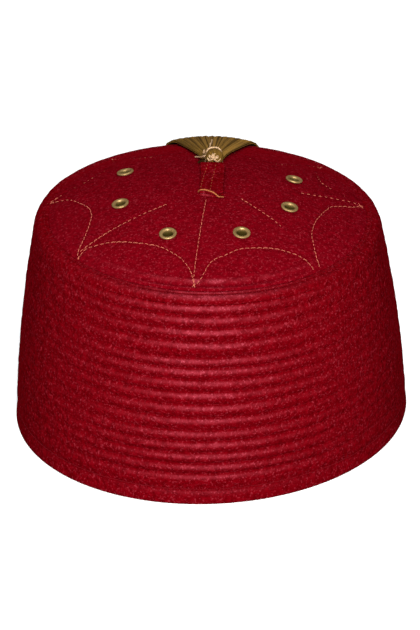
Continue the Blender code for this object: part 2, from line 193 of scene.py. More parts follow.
# Camera, from the picture's own outline
CAMERA_TARGET = (0.0001, 0.0, 0.0495)
CAMERA_DISTANCE = 1.5
CAMERA_ELEVATION = radians(29.02)
CAMERA_ROLL = radians(-1.163)
CAMERA_LENS = 177.9
LAMP_AIM = (0, 0, 0.06)


def eased(share):
    """From 0 to 1 with a level start and end."""
    share = min(max(share, 0.0), 1.0)
    return share * share * (3 - 2 * share)


def ramped(value, low, high):
    return min(max((value - low) / (high - low), 0.0), 1.0)


def mix(a, b, share):
    return a * (1 - share) + b * share


def peak(value, middle, reach):
    """1 at the middle, straight down to 0 a reach away from it."""
    return max(0.0, 1 - abs(value - middle) / reach)


def from_table(table, value, ease=float):
    """A table's numbers for a value of its first column, between its rows and level beyond them."""
    for low, high in zip(table, table[1:]):
        if value <= high[0]:
            break
    share = ease(ramped(value, low[0], high[0]))
    return [mix(a, b, share) for a, b in zip(low[1:], high[1:])]


def turns(count):
    """The angles of even steps all the way round."""
    return [2 * pi * i / count for i in range(count)]


def around(radius, angle):
    return radius * cos(angle), radius * sin(angle)


# The hat's body, as surfaces that every piece is placed on


def body_point(radius, height, angle):
    """Oval at the base, round at the shoulder, and leaning with height."""
    share = min(max(height / SEAM_HEIGHT, 0.0), 1.0)
    x, y = around(radius * (1 + BASE_OVAL * (1 - share) * cos(2 * (angle - BASE_OVAL_ANGLE))), angle)
    return Vector((x, y, height - LEAN * share * x))


def wall_radius(height):
    """The outside of the side, over the crests of its ribs, up to the flat of the shoulder."""
    bend = SEAM_HEIGHT - SHOULDER_ROUND
    if height > bend:
        rise = min((height - bend) / SHOULDER_ROUND, 1.0)
        return DOME_RADIUS + SHOULDER_ROUND * sqrt(1 - rise**2)
    share = height / bend
    straight = BASE_RADIUS + (SHOULDER_RADIUS - BASE_RADIUS) * share
    return straight + WALL_BELLY * 4 * share * (1 - share)


def shoulder_point(turn):
    """Radius and height on the shoulder's round, 0 degrees at the wall and 90 at the seam's flat."""
    out, up = around(SHOULDER_ROUND, radians(turn))
    return DOME_RADIUS + out, SEAM_HEIGHT - SHOULDER_ROUND + up


def dome_height(radius):
    return SEAM_HEIGHT + DOME_RISE * (1 - (radius / DOME_RADIUS) ** 2)


def crown_point(x, y, lift=0.0):
    """A point above the crown's felt, by its place in plan."""
    return Vector((x, y, dome_height(hypot(x, y)) - LEAN * x + lift))


def crown_points(places):
    """Points over the crown's felt, from places in millimetres: across, back and lift."""
    return [crown_point(*(number / 1000 for number in place)) for place in places]


def crown_normal(x, y):
    slope = 2 * DOME_RISE / DOME_RADIUS**2
    return Vector((slope * x + LEAN, slope * y, 1.0)).normalized()


def chance(*place):
    """A fixed draw from -1 to 1 for each place in the noise."""
    return noise.noise(Vector(place))


def drift(angle, kind, pace=2.0):
    """A slow, even wandering from -1 to 1 round the hat, different for each kind."""
    return chance(*around(pace, angle), kind * 3.7)


def lumps(point, size, kind):
    """The small unevenness of thick felt, from -1 to 1, for lumps of the size given."""
    return noise.noise(point / size + Vector((0, 0, kind)))


def uneven(point, table):
    return sum(height * lumps(point, size, kind) for height, size, kind in table)


# Nodes, and the shader groups that several finishes share


def feed(tree, socket, value):
    """Link an output to the socket, or set a plain value on it."""
    if isinstance(value, bpy.types.NodeSocket):
        tree.links.new(value, socket)
    else:
        socket.default_value = value


def node(tree, kind, settings=None, **sockets):
    """A new node. Its sockets are filled by name, or n2 for the third one."""
    made = tree.nodes.new(kind)
    for key, value in (settings or {}).items():
        setattr(made, key, value)
    for key, value in sockets.items():
        numbered = key[0] == "n" and key[1:].isdigit()
        feed(tree, made.inputs[int(key[1:]) if numbered else key.replace("_", " ")], value)
    return made


def add(tree, kind, settings=None, give=0, **sockets):
    """One output of a new node."""
    return node(tree, kind, settings, **sockets).outputs[give]


def maths(tree, operation, first, second=0.0, clamp=False):
    return add(tree, "ShaderNodeMath", {"operation": operation, "use_clamp": clamp}, n0=first, n1=second)


def times(tree, first, second):
    return maths(tree, "MULTIPLY", first, second)


def ramp(tree, value, low, high, start=0.0, end=1.0):
    return add(tree, "ShaderNodeMapRange", Value=value, From_Min=low, From_Max=high, To_Min=start,
               To_Max=end)


def blend_colours(tree, share, first, second):
    first, second = ((*c, 1.0) if isinstance(c, tuple) else c for c in (first, second))
    return add(tree, "ShaderNodeMix", {"data_type": "RGBA"}, 2, n0=share, n6=first, n7=second)


def noise_of(tree, place, scale, detail, rough=0.55, warp=0.0):
    return add(tree, "ShaderNodeTexNoise", Vector=place, Scale=scale, Detail=detail, Roughness=rough,
               Distortion=warp)


def stretched(tree, place, turn, pull):
    """The same place, turned and pulled along one way, for streaks."""
    return add(tree, "ShaderNodeMapping", Vector=place, Rotation=turn, Scale=pull)


def open_tree(kind, name, inputs, outputs, result="Float"):
    """A node group. An input has a first value, or only the name of its kind."""
    tree = bpy.data.node_groups.new(name, kind)
    for label, value in inputs.items():
        named = isinstance(value, str)
        sort = value if named else "Int" if isinstance(value, int) else "Float"
        socket = tree.interface.new_socket(label, in_out="INPUT", socket_type="NodeSocket" + sort)
        if not named:
            socket.default_value = value
    for label in outputs:
        tree.interface.new_socket(label, in_out="OUTPUT", socket_type="NodeSocket" + result)
    return tree, tree.nodes.new("NodeGroupInput").outputs


def close_tree(tree, *results):
    for socket, value in zip(tree.nodes.new("NodeGroupOutput").inputs, results):
        tree.links.new(value, socket)
    return tree


def wool_grain_group():
    """Short matted wool fibres: bright ends, soft mottling, broad unevenness and scattered clumps."""
    tree, given = open_tree(
        "ShaderNodeTree", "wool_grain", {"Place": "Vector", "Fibre Scale": 1300.0, "Mottle Scale": 420.0},
        ("Fibre", "Mottle", "Patch", "Height", "Clump"))
    place, fine, broad = given[:3]
    ways = [noise_of(tree, stretched(tree, place, turn, (1, pull, 1)), fine, 2.0, 0.5, 0.6)
            for turn, pull in (((0.3, 0.2, 0.5), 0.3), ((1.1, 0.6, 2.2), 0.35), ((2.0, 1.9, 1.2), 0.3))]
    streak = maths(tree, "MAXIMUM", maths(tree, "MAXIMUM", ways[0], ways[1]), ways[2])
    coarser = times(tree, fine, 0.75)
    speck = noise_of(tree, place, coarser, 1.0, 0.5)
    fibre = maths(tree, "MAXIMUM", ramp(tree, streak, 0.60, 0.72), ramp(tree, speck, 0.56, 0.67))
    mottle = ramp(tree, noise_of(tree, place, broad, 3.0, 0.6), 0.35, 0.68)
    patch = ramp(tree, noise_of(tree, place, 28.0, 2.0), 0.32, 0.68)
    height = maths(tree, "ADD", times(tree, streak, 0.6), times(tree, mottle, 0.7))
    clump = ramp(tree, noise_of(tree, place, coarser, 2.0, 0.6), 0.57, 0.70)
    return close_tree(tree, fibre, mottle, patch, height, clump)


def thread_twist_group():
    """The slanting plies of a twisted thread, from lengths along it and its turn round."""
    tree, given = open_tree(
        "ShaderNodeTree", "thread_twist", {"Along": 0.0, "Around": 0.0, "Pitch": 0.0008, "Plies": 2.0},
        ("Ply", "Groove"))
    along, turn, pitch, plies = given[:4]
    phase = maths(tree, "ADD", maths(tree, "DIVIDE", along, pitch), times(tree, turn, plies))
    wave = maths(tree, "ABSOLUTE", maths(tree, "SINE", times(tree, phase, pi)))
    return close_tree(tree, maths(tree, "POWER", wave, 0.6), ramp(tree, wave, 0.0, 0.35))


def handling_group():
    """Tarnish in patches with fine rubbed scratches, for metal that has been handled."""
    tree, given = open_tree(
        "ShaderNodeTree", "handling", {"Place": "Vector", "Patch Scale": 500.0}, ("Tarnish", "Scratch"))
    tarnish = ramp(tree, noise_of(tree, given[0], given[1], 4.0, 0.65), 0.35, 0.70)
    drawn = stretched(tree, given[0], (0.4, 0.3, 0.9), (1, 0.08, 1))
    return close_tree(tree, tarnish, ramp(tree, noise_of(tree, drawn, 6000.0, 2.0), 0.45, 0.75))


# Finishes


def put_group(tree, group, **sockets):
    return node(tree, "ShaderNodeGroup", {"node_tree": group}, **sockets).outputs


def read_attribute(tree, name):
    return add(tree, "ShaderNodeAttribute", {"attribute_name": name}, "Fac")


def new_finish(name, **constants):
    """A material's tree and shader, with its constant sockets set, and the place on the piece."""
    material = bpy.data.materials.new(name)
    material.use_nodes = True
    tree = material.node_tree
    shader = tree.nodes["Principled BSDF"]
    for key, value in constants.items():
        shader.inputs[key.replace("_", " ")].default_value = value
    return material, tree, shader, add(tree, "ShaderNodeTexCoord", give="Object")


def finish_shader(tree, shader, colour, rough, height, distance):
    """Give the shader its colour and roughness, and a bump of the height given."""
    bump = add(tree, "ShaderNodeBump", Height=height, Distance=distance)
    for name, value in (("Base Color", colour), ("Roughness", rough), ("Normal", bump)):
        tree.links.new(value, shader.inputs[name])


def felt_finish(name, grain, deep, body, highlight_pink, fuzz_share, bump, groove_shade_share=0.0):
    """Crimson wool felt: dark between the fibres, lighter and pinker where their ends stand up, with a
    painted pink highlight where the mesh marks one.
    """
    material, tree, shader, place = new_finish(name, Specular_IOR_Level=0.0)
    fibre, mottle, patch, height, clump = put_group(tree, grain, Place=place)
    # The mesh's marks give a painted pink highlight, partly plain pink nap tone.
    highlight_share = ramp(tree, read_attribute(tree, "nap_and_highlight"), 0.0, 1.0)
    painted_sheen = times(tree, highlight_share, ramp(tree, mottle, 0.0, 1.0, 0.50, 1.0))
    standing = times(tree, fibre, ramp(tree, highlight_share, 0.0, 1.0, fuzz_share, 0.50))
    # Fibre ends and clumps turn a brighter pink under the painted highlight.
    tips = blend_colours(tree, highlight_share, (body[0] * 1.6, 0.004, 0.010),
                         (highlight_pink[0] * 1.5, highlight_pink[1] * 2.2, highlight_pink[2] * 2.0))
    tufts = blend_colours(tree, highlight_share, (0.26, 0.023, 0.036), (0.43, 0.072, 0.105))
    # Painted lightening towards the outline, where the felt turns away from the view.
    turned_away = add(tree, "ShaderNodeLayerWeight", give="Facing", Blend=0.5)
    layers = [
        (times(tree, patch, 0.25), tuple(c * 0.72 for c in body)), (painted_sheen, highlight_pink), (standing, tips),
        (times(tree, clump, 0.52), tufts),
        (ramp(tree, turned_away, 0.72, 0.98, 0.0, 0.6), (body[0] * 1.7, 0.0006, 0.004)),
    ]
    # Painted shade in the grooves and creases, from the mesh's groove attribute.
    if groove_shade_share:
        layers.append((times(tree, read_attribute(tree, "groove"), groove_shade_share),
                       tuple(c * 0.35 for c in deep)))
    colour = blend_colours(tree, mottle, deep, body)
    for share, over in layers:
        colour = blend_colours(tree, share, colour, over)
    finish_shader(tree, shader, colour, ramp(tree, fibre, 0.0, 1.0, 0.64, 0.50), height, bump)
    return material


def thread_finish(name, plies_group, deep, light, roughness, metallic=0.0, shine=0.15):
    """Twisted thread: a painted highlight along each ply and painted shade between them."""
    material, tree, shader, place = new_finish(name, Metallic=metallic, Specular_IOR_Level=shine)
    ply, groove = put_group(tree, plies_group, Along=read_attribute(tree, "along"),
                            Around=read_attribute(tree, "around"), Pitch=0.0007)
    patchy = ramp(tree, noise_of(tree, place, 700.0, 3.0), 0.3, 0.7)
    lit = times(tree, ply, ramp(tree, patchy, 0.0, 1.0, 0.55, 1.0))
    rough = ramp(tree, groove, 0.0, 1.0, min(roughness + 0.25, 1.0), roughness)
    finish_shader(tree, shader, blend_colours(tree, lit, deep, light), rough, ply, 0.00008)
    return material


def brass_finish(handling):
    """Antique brass: warm and rubbed bright, browner in its tarnish, with painted shade down the bore."""
    material, tree, shader, place = new_finish("antique_brass", Metallic=0.6)
    tarnish, scratch = put_group(tree, handling, Place=place)
    colour = blend_colours(tree, tarnish, (0.46, 0.30, 0.12), (0.21, 0.13, 0.04))
    # Painted shade down the bore.
    colour = blend_colours(tree, read_attribute(tree, "inner"), colour, (0.11, 0.078, 0.012))
    rough = maths(tree, "ADD", ramp(tree, tarnish, 0.0, 1.0, 0.40, 0.58), times(tree, scratch, 0.08))
    finish_shader(tree, shader, colour, rough, scratch, 0.00002)
    return material


def silk_finish(name, deep, light, roughness):
    """Bronze-gold silk threads: each has its own tone, with light running along it."""
    material, tree, shader, place = new_finish(name, Specular_IOR_Level=0.18,
                                               Specular_Tint=(1.0, 0.78, 0.45, 1.0))
    drawn = noise_of(tree, stretched(tree, place, (0, 0, 0), (1, 0.06, 1)), 1600.0, 2.0)
    toned = times(tree, read_attribute(tree, "tone"), 0.85)
    share = maths(tree, "ADD", toned, times(tree, drawn, 0.2), clamp=True)
    rough = ramp(tree, drawn, 0.3, 0.7, roughness, roughness + 0.2)
    finish_shader(tree, shader, blend_colours(tree, share, deep, light), rough, drawn, 0.00006)
    return material


# Meshes


def show(name, data):
    """An object at the origin, linked to the scene."""
    shown = bpy.data.objects.new(name, data)
    bpy.context.scene.collection.objects.link(shown)
    return shown


def new_form(*layers):
    """An empty form, and its layers of a number for each vertex."""
    form = bmesh.new()
    return form, *(form.verts.layers.float.new(name) for name in layers)


def put_mesh(name, form, finish, smooth_angle=60, recalculate=True):
    if recalculate:
        bmesh.ops.recalc_face_normals(form, faces=form.faces)
    mesh = bpy.data.meshes.new(name)
    form.to_mesh(mesh)
    form.free()
    mesh.materials.append(finish)
    mesh.shade_smooth()
    mesh.set_sharp_from_angle(angle=radians(smooth_angle))
    return show(name, mesh)


def put_ring(form, layers, places):
    """A row of vertices, from points each followed by a number for every layer."""
    ring = []
    for point, *numbers in places:
        vertex = form.verts.new(point)
        for layer, number in zip(layers, numbers):
            vertex[layer] = number
        ring.append(vertex)
    return ring


def skin(form, rings, wrap_rings=False):
    """Faces over rows of vertices, each row a closed ring."""
    for low, high in zip(rings, rings[1:] + (rings[:1] if wrap_rings else [])):
        for i in range(len(low)):
            j = (i + 1) % len(low)
            form.faces.new((low[i], low[j], high[j], high[i]))


def cap(form, *rings):
    for ring in rings:
        form.faces.new(ring)
    bmesh.ops.triangulate(form, faces=[face for face in form.faces if len(face.verts) > 4])


def worked_mesh(piece, name):
    """The mesh that the piece's modifiers make."""
    bpy.context.view_layer.update()
    depsgraph = bpy.context.evaluated_depsgraph_get()
    mesh = bpy.data.meshes.new_from_object(piece.evaluated_get(depsgraph), preserve_all_data_layers=True,
                                           depsgraph=depsgraph)
    mesh.name = name
    return mesh


def settle(piece, slot, *nodes):
    """The piece rides on the hat and stands for the nodes given; the slot is not used."""
    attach(piece, "root")
    if nodes:
        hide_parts(*nodes)


# Felt side


def pillow(share):
    """How far felt stands out between two rows of stitches, from 0 at a row to 1 on the crest."""
    return sin(pi * share) ** 1.3 if 0 < share < 1 else 0.0


def drawn_in(angle, least, back):
    """The rows are drawn in fully over the front, least at the sides and by a share at the back."""
    facing = cos(angle + pi / 2)
    return mix(least, 1.0, max(eased((facing - 0.67) / 0.31), back * eased((-facing - 0.35) / 0.40)))


def seam_sunk(angle, least):
    """The crown's seam is sunk over the front, further round on the right, and level elsewhere."""
    facing = cos(angle + pi / 2)
    return mix(least, 1.0, eased((facing - 0.70) / 0.25 if cos(angle) > 0 else (facing - 0.84) / 0.13))


def side_dent(angle, turn):
    """A soft dent in the shoulder, on the right, where the sunk seam runs out; it is painted dark as shade
    as well.
    """
    facing = eased((cos(angle - DENT_ANGLE) - 0.935) / 0.05)
    return facing * eased(1 - abs(degrees(turn) - DENT_TURN) / DENT_REACH)


def highlight_by_angle(angle, back=0.0):
    """How strong the painted highlight on the nap is round the hat: most in front, with a long fade to the
    sides, and by a share at the back.
    """
    turn = (angle - HIGHLIGHT_FRONT + pi) % (2 * pi) - pi
    behind = drawn_in(angle, 0.0, back) if abs(turn) > pi / 2 else 0.0
    return max(1 / (1 + (turn / HIGHLIGHT_SPREAD) ** 2) - 0.04, behind)


def rib_depth(angle):
    return RIB_DEPTH * drawn_in(angle, RIB_DEPTH_ROUND, 0.7)


def highlight_below_row(below):
    """The painted highlight on a rib's upward-facing upper part, by the distance below the row above it."""
    if below < HIGHLIGHT_PEAK:
        return eased((below - HIGHLIGHT_START) / (HIGHLIGHT_PEAK - HIGHLIGHT_START))
    return 1 - eased((below - HIGHLIGHT_PEAK) / HIGHLIGHT_REACH)


def row_heights(angle):
    """The hem's row of stitches and the quilting rows above it, each with its own sway."""
    rows = [HEM_STITCH + 0.4 * ROW_SWAY * drift(angle, 1)]
    return rows + [height + ROW_SWAY * drift(angle, number) for number, height in enumerate(STITCH_ROWS, 2)]


def hem_points(angle, first_row):
    """Radius, height, painted shade by closeness to a stitch row, and the nap's painted highlight, from the
    hem's corner to its row of stitches.
    """
    points = []
    for turn in (0, 30, 60, 90):
        down, out = around(HEM_CORNER, radians(turn))
        points.append((BASE_RADIUS - HEM_CORNER + out, HEM_CORNER - down, 0.0, 0.0))
    for share in HEM_STEPS:
        height = HEM_CORNER + (first_row - HEM_CORNER) * share
        depth = HEM_DEPTH * max(0.0, 1 - pillow(0.5 + share / 2))
        # Painted shade close under the hem's row, and a faint painted highlight below that.
        near = max(0.0, 1 - (first_row - height) / 0.0009)
        points.append((wall_radius(height) - depth, height, near,
                       0.4 * highlight_by_angle(angle, 0.5) * highlight_below_row(first_row - height)))
    return points


def rib_points(angle, rows):
    """The same four numbers up the side, over its ribs from the hem's row to the shoulder."""
    points = []
    # dark sets how strong the painted shade is, most over the front.
    depth_here, dark, painted_sheen = rib_depth(angle), drawn_in(angle, 0.15, 0.6), highlight_by_angle(angle, 0.5)
    for number, (low, high) in enumerate(zip(rows, rows[1:])):
        deep = HEM_DEPTH if number == 0 else depth_here
        points.append((wall_radius(low) - deep, low, dark, 0.0))
        full = 1 + 0.10 * drift(angle, number + 30, 7.0)
        for share in RIB_STEPS:
            depth = mix(deep, depth_here, share) * (1 - pillow(share) * full)
            height = mix(low, high, share)
            # Painted shade round each row.
            near = max(0.0, 1 - (high - height) / 0.0011, 0.9 - (height - low) / 0.0026) * dark
            # Painted highlight on the nap below each row, a little stronger higher up the side.
            highlight_amount = painted_sheen * mix(0.70, 1.15, height / SEAM_HEIGHT)
            points.append((wall_radius(height) - depth, height, near, highlight_amount * highlight_below_row(high - height)))
    return points


def shoulder_points(angle, top):
    """The same over the shoulder, from the top row past the line beside the seam to the crown's edge."""
    points = []
    soft = seam_sunk(angle, 0.15)
    bend = SEAM_HEIGHT - SHOULDER_ROUND
    first = ramped(top, bend, SEAM_HEIGHT)
    start = pi / 2 if first >= 1 else atan2(first, sqrt(1 - first**2))
    end = radians(TOPSTITCH_TURN)
    for share in SHOULDER_STEPS:
        turn = mix(start, end, share)
        depth = mix(rib_depth(angle), TOPSTITCH_DEPTH * soft, share) * (1 - pillow(share))
        dent = side_dent(angle, turn)
        out, up = around(SHOULDER_ROUND - depth - DENT_DEPTH * dent, turn)
        # Painted shade beside the seam and the line of stitches, and in the dent on the right.
        near = max(dent, max(0.0, 1 - min(share, 1 - share) * SHOULDER_SPAN / 0.0010) * soft)
        # Painted highlight on the nap of the shoulder's round.
        nap_and_highlight = 1.1 * eased(1 - abs(share - 0.62) / 0.36) * highlight_by_angle(angle, 0.3)
        points.append((DOME_RADIUS + out, bend + up, near, nap_and_highlight))
    stitched = DOME_RADIUS + (SHOULDER_ROUND - TOPSTITCH_DEPTH * soft) * cos(end)
    for share in (0.15, 0.35, 0.6, 0.8, 0.93):
        dip = mix(TOPSTITCH_DEPTH, SEAM_DIP, share) * (1 - pillow(share)) * soft
        # Painted shade towards the seam, and a painted highlight on the nap of the flat beside it.
        points.append((mix(stitched, SEAM_RADIUS + 0.0001, share), SEAM_HEIGHT - dip,
                       0.4 * (1 - share) * soft, 0.7 * highlight_by_angle(angle, 0.1)))
    # A painted dark line along the seam.
    points.append((SEAM_RADIUS, SEAM_HEIGHT - SEAM_DROP * soft, soft, 0.0))
    return points


def inner_points():
    """The ledge that the crown rests on, and the bare inside down to the hem."""
    lip = dome_height(SEAM_RADIUS) - CROWN_THICKNESS
    # The ledge under the crown's edge is painted fully dark, as shade.
    points = [(SEAM_RADIUS - inward, lip - down, near, 0.0) for inward, down, near in (
        (0.0, 0.0001, 1.0), (LEDGE, 0.0002, 1.0), (LEDGE, 0.0008, 1.0),
        (SEAM_RADIUS - DOME_RADIUS - 0.0012, 0.0012, 0.0))]
    bend = SEAM_HEIGHT - SHOULDER_ROUND - 0.002
    for share in (1.0, 0.88, 0.75, 0.62, 0.5, 0.38, 0.25, 0.12, 0.0):
        points.append((wall_radius(bend * share) - WALL_THICKNESS, bend * share, 0.0, 0.0))
    return points


def side_places(angle):
    """The whole section at an angle: points, each with its closeness to a stitch row as painted shade and
    its nap with its painted highlight.
    """
    rows = row_heights(angle)
    for radius, height, near, highlight_share in (*hem_points(angle, rows[0]), *rib_points(angle, rows),
                                         *shoulder_points(angle, rows[-1]), *inner_points()):
        point = body_point(radius, height, angle)
        if height > 0.002 and radius >= wall_radius(height) - 0.5 * WALL_THICKNESS:
            point += Vector((*around(1, angle), 0.0)) * uneven(point, SIDE_LUMPS)
        # The painted highlight is broken up in lumps.
        yield point, near, highlight_share * (0.85 + 0.6 * lumps(point, 0.0045, 3.0))


def felt_side(finish):
    form, *layers = new_form("groove", "nap_and_highlight")
    rings = [put_ring(form, layers, side_places(angle)) for angle in turns(SIDE_COLUMNS)]
    skin(form, rings, wrap_rings=True)
    settle(put_mesh("felt_side", form, finish, 180), "felt", "side_band")


# Felt crown, and the star's lines over it


def between(before, start, end, after, share):
    """A point on a smooth curve from start to end, heading as its neighbours do."""
    leave, arrive = (end - before) / 2, (after - start) / 2
    bend = share * share * (3 - 2 * share)
    early, late = share * (1 - share) ** 2, share * share * (share - 1)
    return start * (1 - bend) + end * bend + leave * early + arrive * late


def smooth_line(corners, step):
    """Points a step apart on a smooth curve through the corners."""
    points = []
    ends = [2 * corners[0] - corners[1], *corners, 2 * corners[-1] - corners[-2]]
    for before, start, end, after in zip(ends, ends[1:], ends[2:], ends[3:]):
        count = max(1, round((end - start).length / step))
        points += [between(before, start, end, after, i / count) for i in range(count)]
    return [*points, corners[-1]]


def plan_line(places, first=(), last=()):
    """A smooth line in plan through places in millimetres, between ends in metres."""
    return smooth_line([*first, *(Vector(place) / 1000 for place in places), *last], 0.001)


def tip_end(number, way):
    """Where a scallop leaves a tip of the star, a little to one side of it."""
    turn, radius, short = STAR_TIPS[number % len(STAR_TIPS)]
    return Vector(around(radius, radians(turn) + way * short / radius))


def star_lines():
    """The star's scallops, then its straight rows, as lines in plan."""
    scallops = [plan_line(arc, [tip_end(number, 1)], [tip_end(number + 1, -1)])
                for number, arc in enumerate(STAR_ARCS)]
    return scallops + [plan_line(row) for row in STAR_ROWS]


def line_tree(lines):
    points = [point for line in lines for point in line]
    tree = KDTree(len(points))
    for number, point in enumerate(points):
        tree.insert((*point, 0.0), number)
    tree.balance()
    return tree


def crown_reach(radius, angle):
    """The crown's edge butts against the side, and stands a little off it over the front."""
    apart = SEAM_RADIUS - CROWN_RADIUS
    return around(radius + apart * eased((radius - 0.0741) / 0.0009) * (1 - seam_sunk(angle, 0.0)), angle)


def crown_face(radius, angle, stitched, holes):
    """A point of the crown's upper face, with painted shade by its closeness to a stitch line or the seam,
    and its nap with a painted highlight.
    """
    x, y = crown_reach(radius, angle)
    flat = Vector((x, y, 0))
    near = max(0.0, 1 - stitched.find(flat)[2] / STITCH_PULL_REACH)
    hole = min((Vector((x, y)) - place).length for place in holes)
    press = max(0.0, 1 - max(0.0, hole - EYELET_FLANGE) / EYELET_PULL_REACH)
    soft = seam_sunk(angle, 0.1)
    level = CROWN_EDGE_DROP * eased((radius - CROWN_EDGE_START) / 0.0035) * (1 - soft)
    drop = STITCH_PULL * eased(near) + EYELET_PULL * eased(press)
    drop += from_table(CROWN_EDGE, radius, eased)[0] * soft + level
    free = 1 - eased((radius - 0.066) / 0.004)
    # Painted shade beside the stitch lines, and in the crease of the rolled edge.
    sunk = 0.7 * near if radius < CROWN_EDGE_START else soft * peak(radius, CROWN_GROOVE, 0.0008)
    # Painted highlight on the rolled edge's ridge and on the thin fold outside it, most in front.
    edge = eased(1.3 - abs(radius - 0.0704) / 0.0012) + 0.6 * peak(radius, 0.0739, 0.0006)
    highlight_share = 1.2 * edge * highlight_by_angle(angle) * ramped(lumps(flat, 0.006, 11.0), -0.45, 0.25)
    wave = uneven(flat, CROWN_LUMPS) * (0.3 + 0.7 * free) * (1 - press)
    return crown_point(x, y, wave - drop), sunk, highlight_share


def felt_crown(finish, lines):
    """The domed top, drawn in under its stitches and round its eyelets, with its edge rolled."""
    form, *layers = new_form("groove", "nap_and_highlight")
    stitched = line_tree(lines)
    holes = [Vector(around(radius, radians(turn))) for turn, radius in EYELETS]
    angles = turns(CROWN_COLUMNS)
    rings = [put_ring(form, layers, (crown_face(radius, angle, stitched, holes) for angle in angles))
             for radius in CROWN_RINGS]
    rings += [[form.verts.new(crown_point(*crown_reach(radius, angle), -CROWN_THICKNESS))
               for angle in angles] for radius in (CROWN_RADIUS, 0.055, 0.03, 0.004)]
    skin(form, rings)
    cap(form, rings[0], rings[-1])
    crown = put_mesh("felt_crown", form, finish, 180)
    cutter = hole_cutter()
    cut = crown.modifiers.new("eyelet_holes", "BOOLEAN")
    cut.operation, cut.object = "DIFFERENCE", cutter
    whole, crown.data = crown.data, worked_mesh(crown, "felt_crown")
    crown.modifiers.clear()
    bpy.data.meshes.remove(whole)
    bpy.data.objects.remove(cutter, do_unlink=True)
    crown.data.shade_smooth()
    crown.data.set_sharp_from_angle(angle=radians(60))
    settle(crown, "felt", "crown_top")


def eyelet_frame(turn, radius):
    """The eyelet's middle on the felt, with its Z square to the crown there."""
    x, y = around(radius, radians(turn))
    tilt = crown_normal(x, y).to_track_quat("Z", "Y").to_matrix().to_4x4()
    return Matrix.Translation(crown_point(x, y)) @ tilt


def hole_cutter():
    mesh = bpy.data.meshes.new("eyelet_holes")
    form, = new_form()
    for place in EYELETS:
        bmesh.ops.create_cone(form, segments=32, radius1=EYELET_BARREL + GAP, radius2=EYELET_BARREL + GAP,
                              depth=CROWN_THICKNESS * 4, cap_ends=True, matrix=eyelet_frame(*place))
    form.to_mesh(mesh)
    form.free()
    return show("eyelet_holes", mesh)


# Eyelets


def eyelet_profile():
    """Radius and height over the felt, from the barrel out over the upper roll and down the bore."""
    top, under = 0.0001, -CROWN_THICKNESS - GAP
    points = [(EYELET_BARREL, top), (EYELET_FLANGE - 0.0002, top)]
    for turn in range(-60, 61, 20):
        t = radians(turn)
        points.append((EYELET_FLANGE - 0.0004 + 0.0004 * cos(t), top + 0.0004 + 0.00042 * sin(t)))
    middle = (EYELET_FLANGE + EYELET_BORE) / 2
    points += [(EYELET_FLANGE - 0.00045, top + 0.00085), (middle + 0.0001, top + 0.00088)]
    for share in (0.2, 0.4, 0.6, 0.8, 1.0):
        turn = share * pi / 2
        height = top + 0.00085 - 0.0011 * (1 - cos(turn))
        points.append((middle - (middle - EYELET_BORE) * sin(turn), height))
    return points + [
        (EYELET_BORE, -0.0012), (EYELET_BORE, under - EYELET_RIM),
        (EYELET_BORE + 0.0003, under - EYELET_RIM - 0.0001),
        (EYELET_UNDER_FLANGE - 0.0002, under - EYELET_RIM), (EYELET_UNDER_FLANGE, under - 0.0004),
        (EYELET_UNDER_FLANGE, under), (EYELET_BARREL, under),
    ]


def eyelet_places(where, angle):
    """The profile's points at an angle, and how far each is down the bore, where shade is painted."""
    for radius, height in eyelet_profile():
        inner = ramped(-height, -0.0005, 0.0005) if radius < EYELET_BORE + 0.0006 else 0.0
        yield where @ Vector((*around(radius, angle), height)), inner


def brass_eyelets(finish):
    for number, place in enumerate(EYELETS, 1):
        form, *layers = new_form("inner")
        where = eyelet_frame(*place)
        rings = [put_ring(form, layers, eyelet_places(where, angle)) for angle in turns(48)]
        skin(form, rings, wrap_rings=True)
        settle(put_mesh(f"brass_eyelet_{number}", form, finish, 50), "brass", f"eyelet_{number}")


# Threads, laid by Geometry Nodes along guides


def guide(lines, closed=False, **carried):
    """A mesh of plain lines of points and ups. It may carry a number for each line, or a list of them."""
    spots = [spot for line in lines for spot in line]
    edges, first = [], 0
    for line in lines:
        last = first + len(line) - 1
        edges += [(i, i + 1) for i in range(first, last)] + ([(last, first)] if closed else [])
        first = last + 1
    mesh = bpy.data.meshes.new("guide")
    mesh.from_pydata([tuple(point) for point, up in spots], edges, [])
    layer = mesh.attributes.new("felt_up", "FLOAT_VECTOR", "POINT")
    for item, (point, up) in zip(layer.data, spots):
        item.vector = up
    for name, given in carried.items():
        layer = mesh.attributes.new(name, "FLOAT", "POINT")
        numbers = [number for line, value in zip(lines, given)
                   for number in (value if isinstance(value, list) else [value] * len(line))]
        for item, number in zip(layer.data, numbers):
            item.value = number
    return show("guide", mesh)


def thread_tube(tree, line, sides, radius, **scale):
    """A tube on the line. It keeps the length along it and the share of a turn around it."""
    ring = add(tree, "GeometryNodeCurvePrimitiveCircle", {"mode": "RADIUS"}, Resolution=sides, Radius=radius)
    kept = []
    for curve, name, measure in ((line, "along", "Length"), (ring, "around", "Factor")):
        value = add(tree, "GeometryNodeSplineParameter", give=measure)
        kept.append(add(tree, "GeometryNodeStoreNamedAttribute", {"data_type": "FLOAT", "domain": "POINT"},
                        Geometry=curve, Name=name, Value=value))
    return add(tree, "GeometryNodeCurveToMesh", Curve=kept[0], Profile_Curve=kept[1], Fill_Caps=True,
               **scale)


def close_threads(tree, threads, material):
    made = add(tree, "GeometryNodeRealizeInstances", Geometry=threads)
    return close_tree(tree, add(tree, "GeometryNodeSetMaterial", Geometry=made, Material=material))


